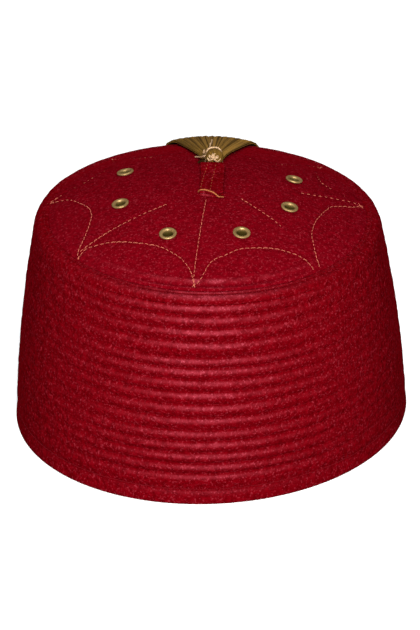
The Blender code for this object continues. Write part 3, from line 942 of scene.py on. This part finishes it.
def stitch_tree():
    """Single stitches along the guides, each bowed over the felt with its ends sunk in it."""
    tree, given = open_tree("GeometryNodeTree", "stitch_row", {
        "Guide": "Geometry", "Pitch": STITCH_PITCH, "Stitch Length": 0.0022, "Thread Radius": 0.0002,
        "Sink": 0.0002, "Rise": 0.0003, "Slant": 0.08, "Seed": 1, "Sides": 6, "Steps": 4,
        "Material": "Material"}, ("Thread",), "Geometry")
    line = add(tree, "GeometryNodeMeshToCurve", Mesh=given["Guide"])
    spots = add(tree, "GeometryNodeResampleCurve", {"mode": "LENGTH"}, Curve=line, Length=given["Pitch"])
    half, sunk = times(tree, given["Stitch Length"], 0.5), times(tree, given["Sink"], -1.0)
    start = add(tree, "ShaderNodeCombineXYZ", X=times(tree, half, -1.0), Z=sunk)
    crest = add(tree, "ShaderNodeCombineXYZ", Z=given["Rise"])
    end = add(tree, "ShaderNodeCombineXYZ", X=half, Z=sunk)
    bow = add(tree, "GeometryNodeCurveQuadraticBezier", Resolution=given["Steps"], Start=start, Middle=crest,
              End=end)
    stitch = thread_tube(tree, bow, given["Sides"], given["Thread Radius"])
    slant, size = (add(tree, "FunctionNodeRandomValue", {"data_type": "FLOAT"}, 1, n2=least, n3=most,
                       Seed=given["Seed"])
                   for least, most in ((times(tree, given["Slant"], -1.0), given["Slant"]), (0.88, 1.10)))
    up = add(tree, "GeometryNodeInputNamedAttribute", {"data_type": "FLOAT_VECTOR"}, Name="felt_up")
    ahead = add(tree, "ShaderNodeVectorRotate", {"rotation_type": "AXIS_ANGLE"}, Axis=up, Angle=slant,
                Vector=add(tree, "GeometryNodeInputTangent"))
    facing = add(tree, "FunctionNodeAlignRotationToVector", {"axis": "X"}, Vector=ahead)
    upright = add(tree, "FunctionNodeAlignRotationToVector", {"axis": "Z", "pivot_axis": "X"},
                  Rotation=facing, Vector=up)
    placed = add(tree, "GeometryNodeInstanceOnPoints", Points=spots, Instance=stitch, Rotation=upright,
                 Scale=size)
    return close_threads(tree, placed, given["Material"])


def strand_tree():
    """Round strands along the guides, as thick at each point as the guide's own girth."""
    tree, given = open_tree("GeometryNodeTree", "silk_strands", {
        "Guide": "Geometry", "Thickness": 1.0, "Sides": 5, "Material": "Material"}, ("Thread",), "Geometry")
    line = add(tree, "GeometryNodeMeshToCurve", Mesh=given["Guide"])
    girth = add(tree, "GeometryNodeInputNamedAttribute", {"data_type": "FLOAT"}, Name="girth")
    girth = times(tree, girth, given["Thickness"])
    sized = add(tree, "GeometryNodeSetCurveRadius", Curve=line, Radius=girth)
    tube = thread_tube(tree, sized, given["Sides"], 1.0, Scale=add(tree, "GeometryNodeInputRadius"))
    return close_threads(tree, tube, given["Material"])


def lay_thread(name, slot, tree, finish, holder, nodes=(), **sizes):
    """Run the tree on the guide, keep its result as a plain mesh, and drop the guide."""
    worker = holder.modifiers.new("thread", "NODES")
    worker.node_group = tree
    sockets = {item.name: item.identifier for item in tree.interface.items_tree
               if item.item_type == "SOCKET" and item.in_out == "INPUT"}
    for key, value in {**sizes, "Material": finish}.items():
        worker[sockets[key.replace("_", " ")]] = value
    mesh = worked_mesh(holder, name)
    mesh.shade_smooth()
    lines = holder.data
    bpy.data.objects.remove(holder, do_unlink=True)
    bpy.data.meshes.remove(lines)
    settle(show(name, mesh), slot, *nodes)


def side_row(number, depth_at):
    """A closed line round the side along a row of stitches, and the way its felt faces."""
    line = []
    for angle in turns(240):
        height = row_heights(angle)[number]
        out = Vector((*around(1, angle), 0.12)).normalized()
        line.append((body_point(wall_radius(height) - depth_at(angle), height, angle), out))
    return line


def shoulder_row():
    """The closed line over the shoulder beside the crown's seam."""
    radius, height = shoulder_point(TOPSTITCH_TURN)
    return [(body_point(radius, height - TOPSTITCH_DEPTH * seam_sunk(angle, 0.15), angle), Vector((0, 0, 1)))
            for angle in turns(240)]


def side_stitches(tree, finish):
    rows = [side_row(number, lambda angle: rib_depth(angle) + 0.00005)
            for number in range(1, len(STITCH_ROWS) + 1)]
    lay_thread("quilting_stitches", "felt", tree, finish, guide(rows, True), Pitch=0.0030,
               Stitch_Length=0.0026, Thread_Radius=0.00018, Sink=0.0003, Rise=0.0002, Seed=3, Sides=5,
               Steps=3)
    hem = side_row(0, lambda angle: HEM_DEPTH - 0.0001)
    lay_thread("hem_stitches", "felt", tree, finish, guide([hem], True), Pitch=0.0030, Stitch_Length=0.0028,
               Thread_Radius=0.0002, Sink=0.0002, Rise=0.0003, Seed=4)
    lay_thread("shoulder_topstitches", "felt", tree, finish, guide([shoulder_row()], True), Pitch=0.0029,
               Stitch_Length=0.0022, Thread_Radius=0.0002, Sink=0.0003, Rise=0.0004, Seed=5)


def star_stitches(tree, finish, lines):
    """The gold star: plain over the front, and sunk deeper in the nap round the back."""
    faint = lines[FAINT_LINES]
    for name, lift, thickness, behind in (("star_stitches", -0.00022, 0.00015, False),
                                          ("star_stitches_back", -0.00052, 0.00014, True)):
        chosen = [line for line in lines if (min(p.y for p in line) >= STAR_FRONT_Y) == behind]
        laid = [[(crown_point(p.x, p.y, lift - FAINT_SINK * (line in faint)), crown_normal(p.x, p.y))
                 for p in line] for line in chosen]
        lay_thread(name, "gold_cord", tree, finish, guide(laid), Pitch=STITCH_PITCH, Stitch_Length=0.0021,
                   Thread_Radius=thickness, Sink=0.00015, Rise=0.0005, Slant=0.20, Seed=7)


# Felt strap


def strap_path():
    """The strip's middle line as y and lift: back along the upper layer, round the eye, forward."""
    lower = EYE_LIFT - EYE_RADIUS
    upper = lower + STRAP_LAYER + GAP
    path = [(mix(STRAP_FRONT_Y, STRAP_RISE_Y, i / 16), upper) for i in range(17)]
    path += [(mix(STRAP_RISE_Y, EYE_Y, i / 9), mix(upper, EYE_LIFT + EYE_RADIUS, eased(i / 9)))
             for i in range(1, 9)]
    for i in range(17):
        back, up = around(EYE_RADIUS, pi / 2 - pi * i / 16)
        path.append((EYE_Y + back, EYE_LIFT + up))
    path += [(mix(STRAP_FRONT_Y, EYE_Y, i / 16), lower) for i in range(15, -1, -1)]
    return [Vector(place) for place in path]


def strap_place(y, lift, side):
    """Side runs from -1 at the strip's left edge to 1 at its right; the front end is cut askew."""
    flat = max(0.0, (STRAP_SKEW_END_Y - y) / (STRAP_SKEW_END_Y - STRAP_FRONT_Y))
    width = STRAP_WIDTH * (1 + 0.06 * eased((y - 0.012) / 0.004))
    x = STRAP_FRONT_X + STRAP_TURN * (y - STRAP_FRONT_Y) + side * width / 2
    return crown_point(x, y - from_table(STRAP_CUT, side)[0] * flat, lift)


def strap_outline():
    """Round the strip's section: side from -1 to 1, and level from 1 over it to -1 under it."""
    edge = STRAP_LAYER / STRAP_WIDTH
    flat = [mix(-1 + edge, 1 - edge, k / 12) for k in range(13)]
    bends = [(edge * sin(radians(turn)), cos(radians(turn))) for turn in (30, 60, 90, 120, 150)]
    return [*((side, 1.0) for side in flat), *((1 - edge + out, level) for out, level in bends),
            *((-side, -1.0) for side in flat), *((-1 + edge - out, level) for out, level in reversed(bends))]


def strap_section(path, i):
    """Points round the strip at one point of its path, each with its nap's painted highlight."""
    point = path[i]
    ahead = path[min(i + 1, len(path) - 1)] - path[max(i - 1, 0)]
    out = Vector((-ahead.y, ahead.x)).normalized()
    # The painted highlight is strong on the lower layer and faint on the upper one.
    most = 0.8 if point.y < EYE_LIFT - EYE_RADIUS / 2 else 0.1
    for side, level in strap_outline():
        place = point + out * (STRAP_LAYER / 2) * level * (0.92 + 0.08 * (1 - side * side))
        spot = strap_place(place.x, place.y, side)
        spot.z += 0.00008 * lumps(spot, 0.003, 8.0)
        # A painted highlight near the left edge of the strap's front end.
        highlight_amount = eased((side + 1.0) / 0.3) * (1 - eased((side + 0.35) / 0.4))
        yield spot, highlight_amount * eased((-0.0088 - place.x) / 0.0012) * most


def felt_strap(finish):
    form, *layers = new_form("nap_and_highlight")
    path = strap_path()
    rings = [put_ring(form, layers, strap_section(path, i)) for i in range(len(path))]
    skin(form, rings)
    form.faces.new(rings[0])
    form.faces.new(rings[-1])
    settle(put_mesh("felt_strap", form, finish, 50), "felt", "tassel_loop")


def strap_top(p):
    """The strap's upper face over a point in plan, and the way it faces."""
    upper = GAP + STRAP_LAYER / 2 + STRAP_LAYER + GAP
    rise = eased((p.y - STRAP_RISE_Y) / (EYE_Y - STRAP_RISE_Y)) if p.y > STRAP_RISE_Y else 0.0
    lift = mix(upper, EYE_LIFT + EYE_RADIUS, rise) + STRAP_LAYER / 2
    return crown_point(p.x, p.y, lift - 0.00005), crown_normal(p.x, p.y)


def strap_stitches(tree, finish):
    lines = [[strap_top(p) for p in plan_line(places)]
             for places in (((0.7, 18.5), (-0.4, 12.0), (-1.6, 5.0), (-2.9, -5.5)),
                            ((4.7, 18.5), (3.6, 11.0), (2.6, 3.5), (1.5, -7.6)))]
    lay_thread("strap_stitches", "gold_cord", tree, finish, guide(lines), Pitch=0.0027, Stitch_Length=0.0021,
               Thread_Radius=0.00012, Sink=0.0002, Rise=0.0003, Seed=9)


# Twisted cords and loose ends


def twist(route, plies, winds, spread, closed=False):
    """Plies wound round a route, as lines for the strand tree."""
    count = len(route)
    tangents = []
    for i in range(count):
        ahead = route[(i + 1) % count] if closed or i < count - 1 else route[i]
        behind = route[i - 1] if closed or i > 0 else route[i]
        tangents.append((ahead - behind).normalized())
    side = tangents[0].orthogonal().normalized()
    frames = []
    for tangent in tangents:
        side = (side - tangent * side.dot(tangent)).normalized()
        frames.append((side.copy(), tangent.cross(side)))
    gap = 0.0
    if closed:
        back = (frames[-1][0] - tangents[0] * frames[-1][0].dot(tangents[0])).normalized()
        gap = atan2(frames[0][1].dot(back), frames[0][0].dot(back))
    lines = []
    for ply in range(plies):
        line = []
        for i, (point, (first, second)) in enumerate(zip(route, frames)):
            share = i / count if closed else i / (count - 1)
            phase = 2 * pi * (winds * share + ply / plies) - gap * share
            out = first * cos(phase) + second * sin(phase)
            line.append((point + out * spread, out))
        lines.append(line)
    return lines


def bar_tack(tree, finish):
    """The thick gold bar over the strap's front end, its thread wound on and on."""
    route = smooth_line(crown_points((
        (-4.3, -7.4, 0.9), (-3.9, -8.2, 2.1), (-3.1, -8.8, 2.8), (-1.1, -8.9, 2.95), (1.4, -10.3, 2.95),
        (2.9, -11.4, 2.9), (4.1, -12.0, 2.2), (5.2, -11.8, 1.0), (6.4, -11.2, 0.6), (7.8, -11.1, 0.5),
    )), 0.00035)
    lines = twist(route, plies=2, winds=6, spread=0.00019)
    lines.append([(point, crown_normal(point.x, point.y)) for point in route[: len(route) * 2 // 3]])
    girths = [[0.0002 * min(1.0, 0.45 + 3 * min(i, len(line) - i) / len(line)) for i in range(len(line))]
              for line in lines]
    lay_thread("bar_tack", "gold_cord", tree, finish, guide(lines, girth=girths))


def metallic_cord(tree, finish):
    """Three plies round the closed loop through the strap's eye and behind the tassel's head."""
    corners = [crown_point(*place) for place in CORD_ROUTE]
    route = []
    for number in range(len(corners)):
        stretch = [corners[(number + k) % len(corners)] for k in (-1, 0, 1, 2)]
        route += [between(*stretch, step / 12) for step in range(12)]
    lines = twist(route, plies=3, winds=22, spread=0.00024, closed=True)
    holder = guide(lines, True, girth=[0.00028] * len(lines))
    lay_thread("metallic_cord", "gold_cord", tree, finish, holder, ["tassel_cord"], Sides=6)


def on_head(x, lift, out):
    """A place just in front of the tassel's head, in millimetres across and over the felt."""
    across, up = x / 1000 - HEAD_X, lift / 1000 - GAP - HEAD_RADIUS
    back = sqrt(max((HEAD_RADIUS + out) ** 2 - across**2 - up**2, 0.0))
    return crown_point(x / 1000, HEAD_Y - back, lift / 1000)


def with_up(line):
    return [(point, Vector((0, 0, 1))) for point in line]


def head_curls():
    """Frayed curls of the metallic thread before the tassel's head, four strands to each."""
    curls = (
        ((0.9, 7.0), (1.5, 6.6), (2.1, 6.4), (2.9, 6.1), (3.8, 5.7)),
        ((2.0, 6.2), (2.6, 7.0), (3.2, 7.6), (3.6, 7.3), (3.0, 6.7), (2.4, 6.9)),
        ((4.3, 6.2), (4.8, 6.9), (5.3, 6.5), (4.9, 6.0), (4.4, 6.4)),
        ((3.4, 6.0), (3.9, 5.2), (4.7, 4.6), (5.3, 4.3), (5.8, 4.5), (6.2, 5.1)),
        ((0.6, 5.5), (0.9, 5.0), (1.4, 4.8), (2.0, 5.2), (2.6, 5.5)),
    )
    lines = []
    for number, curl in enumerate(curls):
        for strand in range(4):
            places = []
            for k, (x, lift) in enumerate(curl):
                at = Vector((number * 3.1 + strand * 1.7, k * 0.8, 2.5))
                across, up = noise.noise(at), noise.noise(at + Vector((0, 0, 9.3)))
                places.append(on_head(x + 1.1 * across, lift + up, 0.0002 + 0.00018 * (strand + k % 2)))
            lines.append(smooth_line(places, 0.0003))
    return lines


def loose_ends(tree, finish, dark):
    """The frayed metallic thread before the head, and loose ends over and beside the fan, with dark silk
    strands standing for the shadow beside the neck.
    """
    lines = head_curls()
    girths = [0.00017] * len(lines)
    for girth, places in (
        (0.00044, ((-0.9, 28.0, 7.4), (-1.3, 28.2, 6.9), (-1.0, 28.5, 6.2), (-1.4, 28.7, 5.5),
                   (-1.2, 28.4, 6.6), (-0.9, 28.2, 7.1))),
        (0.00036, ((0.1, 26.9, 4.6), (-1.2, 27.7, 4.5), (-2.5, 29.9, 3.1), (-3.6, 32.5, 2.2),
                   (-4.8, 35.1, 1.5), (-5.5, 35.7, 1.3))),
        (0.00026, ((-1.0, 27.4, 4.0), (-2.4, 30.6, 2.8), (-3.4, 33.8, 1.9), (-4.3, 36.0, 1.2))),
        (0.00042, ((1.6, 30.6, 6.8), (1.2, 34.0, 4.6), (1.4, 40.0, 3.9), (1.8, 44.5, 4.4), (2.0, 46.4, 5.6),
                   (2.1, 48.2, 4.6), (2.3, 51.0, 4.0), (2.7, 54.0, 4.9), (2.8, 55.4, 5.5), (2.8, 57.0, 4.4),
                   (2.6, 61.0, 3.9))),
    ):
        lines.append(smooth_line(crown_points(places), 0.0004))
        girths.append(girth)
    holder = guide([with_up(line) for line in lines], girth=girths)
    lay_thread("loose_metallic_ends", "gold_cord", tree, finish, holder)
    # Dark silk strands laid where the neck's shadow falls on the felt: a painted shadow.
    shadow_wisps = []
    for n in range(9):
        a, b = chance(n * 1.9, 3.3, 7.7), chance(n * 2.3, 8.1, 1.2)
        places = ((-0.9 - 0.1 * n, 26.4 + a, 2.2 + b), (-2.4 + a, 28.0 + 1.5 * b, 1.9 + a),
                  (-3.6 + b, 28.6 + 2.6 * a, 0.8 + 0.3 * b))
        shadow_wisps.append(with_up(smooth_line(crown_points(places), 0.0006)))
    holder = guide(shadow_wisps, girth=[0.00028] * len(shadow_wisps), tone=[0.1] * len(shadow_wisps))
    lay_thread("dark_silk_ends_for_shadow", "silk", tree, dark, holder)


# Tassel


def drape_profile():
    """The hat's outside as radius and height, from the dome's edge over the shoulder and down."""
    edge = SEAM_RADIUS - 0.0012
    points = [(edge, dome_height(edge)), *(shoulder_point(turn) for turn in (70, 50, 30, 10, 0))]
    for step in range(1, 14):
        height = points[5][1] * (1 - step / 16)
        points.append((wall_radius(height), height))
    return [Vector(point) for point in points]


def drape_place(profile, length):
    """The place and outward direction a given length down the drape profile."""
    for start, end in zip(profile, profile[1:]):
        step = (end - start).length
        if length <= step:
            break
        length -= step
    ahead = (end - start).normalized()
    return start + ahead * length, Vector((-ahead.y, ahead.x))


def fan_point(side, along, half, lift, profile):
    """Side runs from -1 to 1 across the fan, and along is the length from its root."""
    edge_x = FAN_MIDDLE_X + side * half
    edge_y = sqrt(profile[0].x ** 2 - edge_x**2)
    run = edge_y - FAN_ROOT_Y
    if along < run:
        return crown_point(edge_x, FAN_ROOT_Y + along, lift)
    place, out = drape_place(profile, along - run)
    return body_point(*(place + out * lift), atan2(edge_y, edge_x))


def gathered(side, along):
    """The threads draw in from the fan's full width over the crown, more on the left."""
    lain = eased((along - 0.004) / 0.008) * (1 - eased((along - 0.046) / 0.014))
    return side * (1 - lain * (0.19 if side < 0 else 0.12))


def fan_top(side, under, over, bow):
    return under + (over - under) * (1 - bow * side * side)


def core_section(along, profile):
    """Points over the core's locks and back under it, each with its tone."""
    half, under, over, bow = from_table(TASSEL_SECTIONS, along)
    half -= CORE_SLIMMER
    sides = [2 * k / CORE_COLUMNS - 1 for k in range(CORE_COLUMNS + 1)]
    for side in sides:
        # The tone is highest on each lock's crest and nil between locks and underneath: painted shade.
        lock = abs(sin(side * TASSEL_LOCKS * pi / 2))
        lift = fan_top(side, under, over, bow) - 0.0007 - 0.0002 * (1 - lock)
        lift = max(lift, under + LEAST_LIFT)
        yield fan_point(gathered(side, along), along, half, lift, profile), 0.15 * lock
    for side in reversed(sides):
        yield fan_point(0.93 * gathered(side, along), along, half, under + 0.0001, profile), 0.0


def tassel_core(finish):
    """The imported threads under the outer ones, a little slimmer than the whole tassel."""
    form, *layers = new_form("tone")
    profile = drape_profile()
    rings = [put_ring(form, layers, core_section(CORE_STEP * step, profile))
             for step in range(1, CORE_STEPS + 1)]
    skin(form, rings)
    cap(form, rings[0], rings[-1])
    settle(put_mesh("tassel_core", form, finish), "silk", "tassel")


def fan_thread(side, lock, length, layer, serial, profile):
    """One thread of the fan, drawn towards its lock: a place at each step from the neck to the end."""
    line = []
    for k in range(THREAD_STEPS + 1):
        along = THREAD_START + (length - THREAD_START) * (k / THREAD_STEPS)
        half, under, over, bow = from_table(TASSEL_SECTIONS, along)
        half -= 0.0003
        here = mix(side, lock + (side - lock) * 0.55, 0.35 * eased((along - 0.03) / 0.05))
        here += 0.012 * chance(along * 60, serial * 1.7, 0.5)
        here = max(-1.0, min(1.0, here))
        lift = fan_top(here, under, over, bow) - 0.0003 + layer
        crest = 1 - min(1.0, abs(here - lock) * TASSEL_LOCKS) ** 2
        lift += 0.00025 * crest * eased((along - 0.02) / 0.03)
        lift += 0.00012 * chance(along * 90, serial * 0.9, 3.5)
        place = fan_point(gathered(here, along), along, half, max(lift, under + LEAST_LIFT), profile)
        line.append((along, place))
    return line


def fan_strands(tree, finish):
    """The outer silk threads, gathered in locks, from the neck over the crown and down the side."""
    profile = drape_profile()
    lines, girths, tones = [], [], []
    for layer, count in THREAD_LAYERS:
        for n in range(count):
            serial = len(lines) + 1
            at = Vector((serial * 0.731, layer * 900, 4.4))
            a, b, c = (noise.noise(at + Vector((0, 0, k * 5.1))) for k in range(3))
            side = 2 * (n + 0.5 + 0.35 * a) / count - 1
            across = (side + 1) / 2 * TASSEL_LOCKS
            lock = (round(across - 0.5) + 0.5) / TASSEL_LOCKS * 2 - 1
            length = THREAD_LENGTH + TIP_UNEVEN * sin(2.4 * round(across) + 0.6) + 0.0035 * b
            thread = fan_thread(side, lock, length, layer, serial, profile)
            lines.append(with_up(place for along, place in thread))
            girths.append([0.00017 + 0.00007 * eased(along / 0.03) + 0.00004 * c for along, place in thread])
            streak = chance(side * 13.5, 2.2, layer * 900)
            tones.append(ramped(0.42 + 0.8 * c + streak, 0.0, 1.0))
    lay_thread("tassel_strands", "silk", tree, finish, guide(lines, girth=girths, tone=tones))


def tassel_head(tree, core_finish, finish):
    """A round head wound over with threads that run back into the neck."""
    middle = crown_point(HEAD_X, HEAD_Y, GAP + HEAD_RADIUS)
    form, tone = new_form("tone")
    bmesh.ops.create_uvsphere(form, u_segments=48, v_segments=32, radius=HEAD_RADIUS - 0.00035,
                              matrix=Matrix.Translation(middle))
    for vertex in form.verts:
        vertex[tone] = 0.2
    settle(put_mesh("tassel_head_core", form, core_finish, 180), "silk")
    tilts = [radians(8 + 150 * k / 16) for k in range(17)]
    lines, tones = [], []
    for n, turn in enumerate(turns(64)):
        line = []
        for k, tilt in enumerate(tilts):
            reach = HEAD_RADIUS - 0.0002 + 0.00006 * chance(n * 1.3, k * 0.4, 2.0)
            across, up = around(sin(tilt), turn + 0.5 * (k / 16))
            out = Vector((across, -cos(tilt), up))
            line.append((middle + out * reach, out))
        lines.append(line)
        tones.append(ramped(0.26 + 0.5 * chance(n * 0.77, 9.0, 1.0), 0.0, 1.0))
    girths = [[0.00008 + 0.00018 * sin(tilt) for tilt in tilts]] * len(lines)
    lay_thread("tassel_head_threads", "silk", tree, finish, guide(lines, girth=girths, tone=tones))


# Floor, light and camera


def floor():
    form, = new_form()
    bmesh.ops.create_grid(form, x_segments=24, y_segments=24, size=4.0)
    finish, tree, shader, place = new_finish("pale_paper", Roughness=0.9, Specular_IOR_Level=0.1,
                                             Emission_Strength=1.0)
    tone = ramp(tree, noise_of(tree, place, 3.0, 2.0), 0.3, 0.7)
    pale = blend_colours(tree, tone, (0.88, 0.88, 0.88), (0.92, 0.92, 0.92))
    path = node(tree, "ShaderNodeLightPath").outputs
    seen = path["Is Camera Ray"]
    dim = blend_colours(tree, path["Is Glossy Ray"], (0.35, 0.35, 0.35), (0.05, 0.05, 0.05))
    tree.links.new(blend_colours(tree, seen, dim, pale), shader.inputs["Base Color"])
    tree.links.new(blend_colours(tree, seen, (0, 0, 0), (0.25, 0.25, 0.25)), shader.inputs["Emission Color"])
    sheet = put_mesh("floor_sheet", form, finish, 180, recalculate=False)


def lamp(name, place, size, power, shines=True):
    light = bpy.data.lights.new(name, "AREA")
    light.shape, light.size, light.energy = "DISK", size, power
    holder = show(name, light)
    holder.visible_glossy = shines
    holder.location = place
    holder.rotation_euler = (Vector(LAMP_AIM) - Vector(place)).to_track_quat("-Z", "Y").to_euler()


def studio():
    world = bpy.data.worlds.new("studio")
    world.use_nodes = True
    tree = world.node_tree
    background = tree.nodes["Background"].inputs
    background["Color"].default_value = (1.0, 1.0, 1.0, 1.0)
    path = node(tree, "ShaderNodeLightPath").outputs
    shone = ramp(tree, path["Is Glossy Ray"], 0.0, 1.0, 0.25, 0.04)
    tree.links.new(maths(tree, "MAXIMUM", path["Is Camera Ray"], shone), background["Strength"])
    bpy.context.scene.world = world
    lamp("key_light", (0.06, -1.1, 1.08), 0.30, 24.0)
    lamp("front_light", (-0.05, -1.45, 0.45), 0.70, 20.0)
    lamp("back_light", (-0.1, 1.25, 1.1), 0.7, 10.0, shines=False)
    bpy.context.scene.view_settings.view_transform = "Standard"


def camera():
    forward = Vector((0, cos(CAMERA_ELEVATION), -sin(CAMERA_ELEVATION)))
    right = Vector((1, 0, 0))
    up = right.cross(forward)
    across = right * cos(CAMERA_ROLL) + up * sin(CAMERA_ROLL)
    upright = up * cos(CAMERA_ROLL) - right * sin(CAMERA_ROLL)
    view = bpy.data.cameras.new("camera")
    view.lens, view.sensor_width, view.clip_start = CAMERA_LENS, 36, 0.05
    holder = show("camera", view)
    place = Matrix((across, upright, -forward)).transposed().to_4x4()
    place.translation = Vector(CAMERA_TARGET) - forward * CAMERA_DISTANCE
    holder.matrix_world = place
    bpy.context.scene.camera = holder


def dress():
    camera()
    studio()
    floor()
    grain, plies, handling = wool_grain_group(), thread_twist_group(), handling_group()
    deep, body, highlight_pink = (0.075, 0.0000, 0.0010), (0.142, 0.0005, 0.0030), (0.245, 0.021, 0.033)
    side_felt = felt_finish("quilted_felt", grain, deep, body, highlight_pink, 0.16, 0.0004, 0.15)
    crown_felt = felt_finish("crown_felt", grain, (0.090, 0.0002, 0.0022), (0.150, 0.0008, 0.0045), highlight_pink,
                             0.17, 0.0003, 0.3)
    strap_felt = felt_finish("strap_felt", grain, deep, body, highlight_pink, 0.18, 0.0003)
    red_thread = thread_finish("crimson_thread", plies, (0.07, 0.0003, 0.0016), (0.17, 0.003, 0.007), 0.8,
                               shine=0.05)
    gold_thread = thread_finish("gold_thread", plies, (0.22, 0.050, 0.010), (0.52, 0.18, 0.062), 0.5)
    sunk_thread = thread_finish("gold_thread_in_nap", plies, (0.17, 0.024, 0.008), (0.46, 0.13, 0.050), 0.65)
    star_thread = thread_finish("star_thread", plies, (0.26, 0.037, 0.020), (0.70, 0.195, 0.125), 0.65)
    cord_metal = thread_finish("metallic_thread", plies, (0.38, 0.21, 0.10), (0.84, 0.57, 0.33), 0.38,
                               metallic=0.4, shine=0.4)
    silk = silk_finish("bronze_silk", (0.034, 0.015, 0.0005), (0.32, 0.168, 0.032), 0.40)
    silk_deep = silk_finish("shaded_silk", (0.014, 0.005, 0.0004), (0.060, 0.030, 0.004), 0.5)
    stitches, strands = stitch_tree(), strand_tree()
    lines = star_lines()
    felt_side(side_felt)
    felt_crown(crown_felt, lines)
    brass_eyelets(brass_finish(handling))
    felt_strap(strap_felt)
    side_stitches(stitches, red_thread)
    star_stitches(stitches, star_thread, lines)
    strap_stitches(stitches, sunk_thread)
    bar_tack(strands, gold_thread)
    metallic_cord(strands, cord_metal)
    loose_ends(strands, cord_metal, silk_deep)
    tassel_core(silk_deep)
    fan_strands(strands, silk)
    tassel_head(strands, silk_deep, silk)


dress()
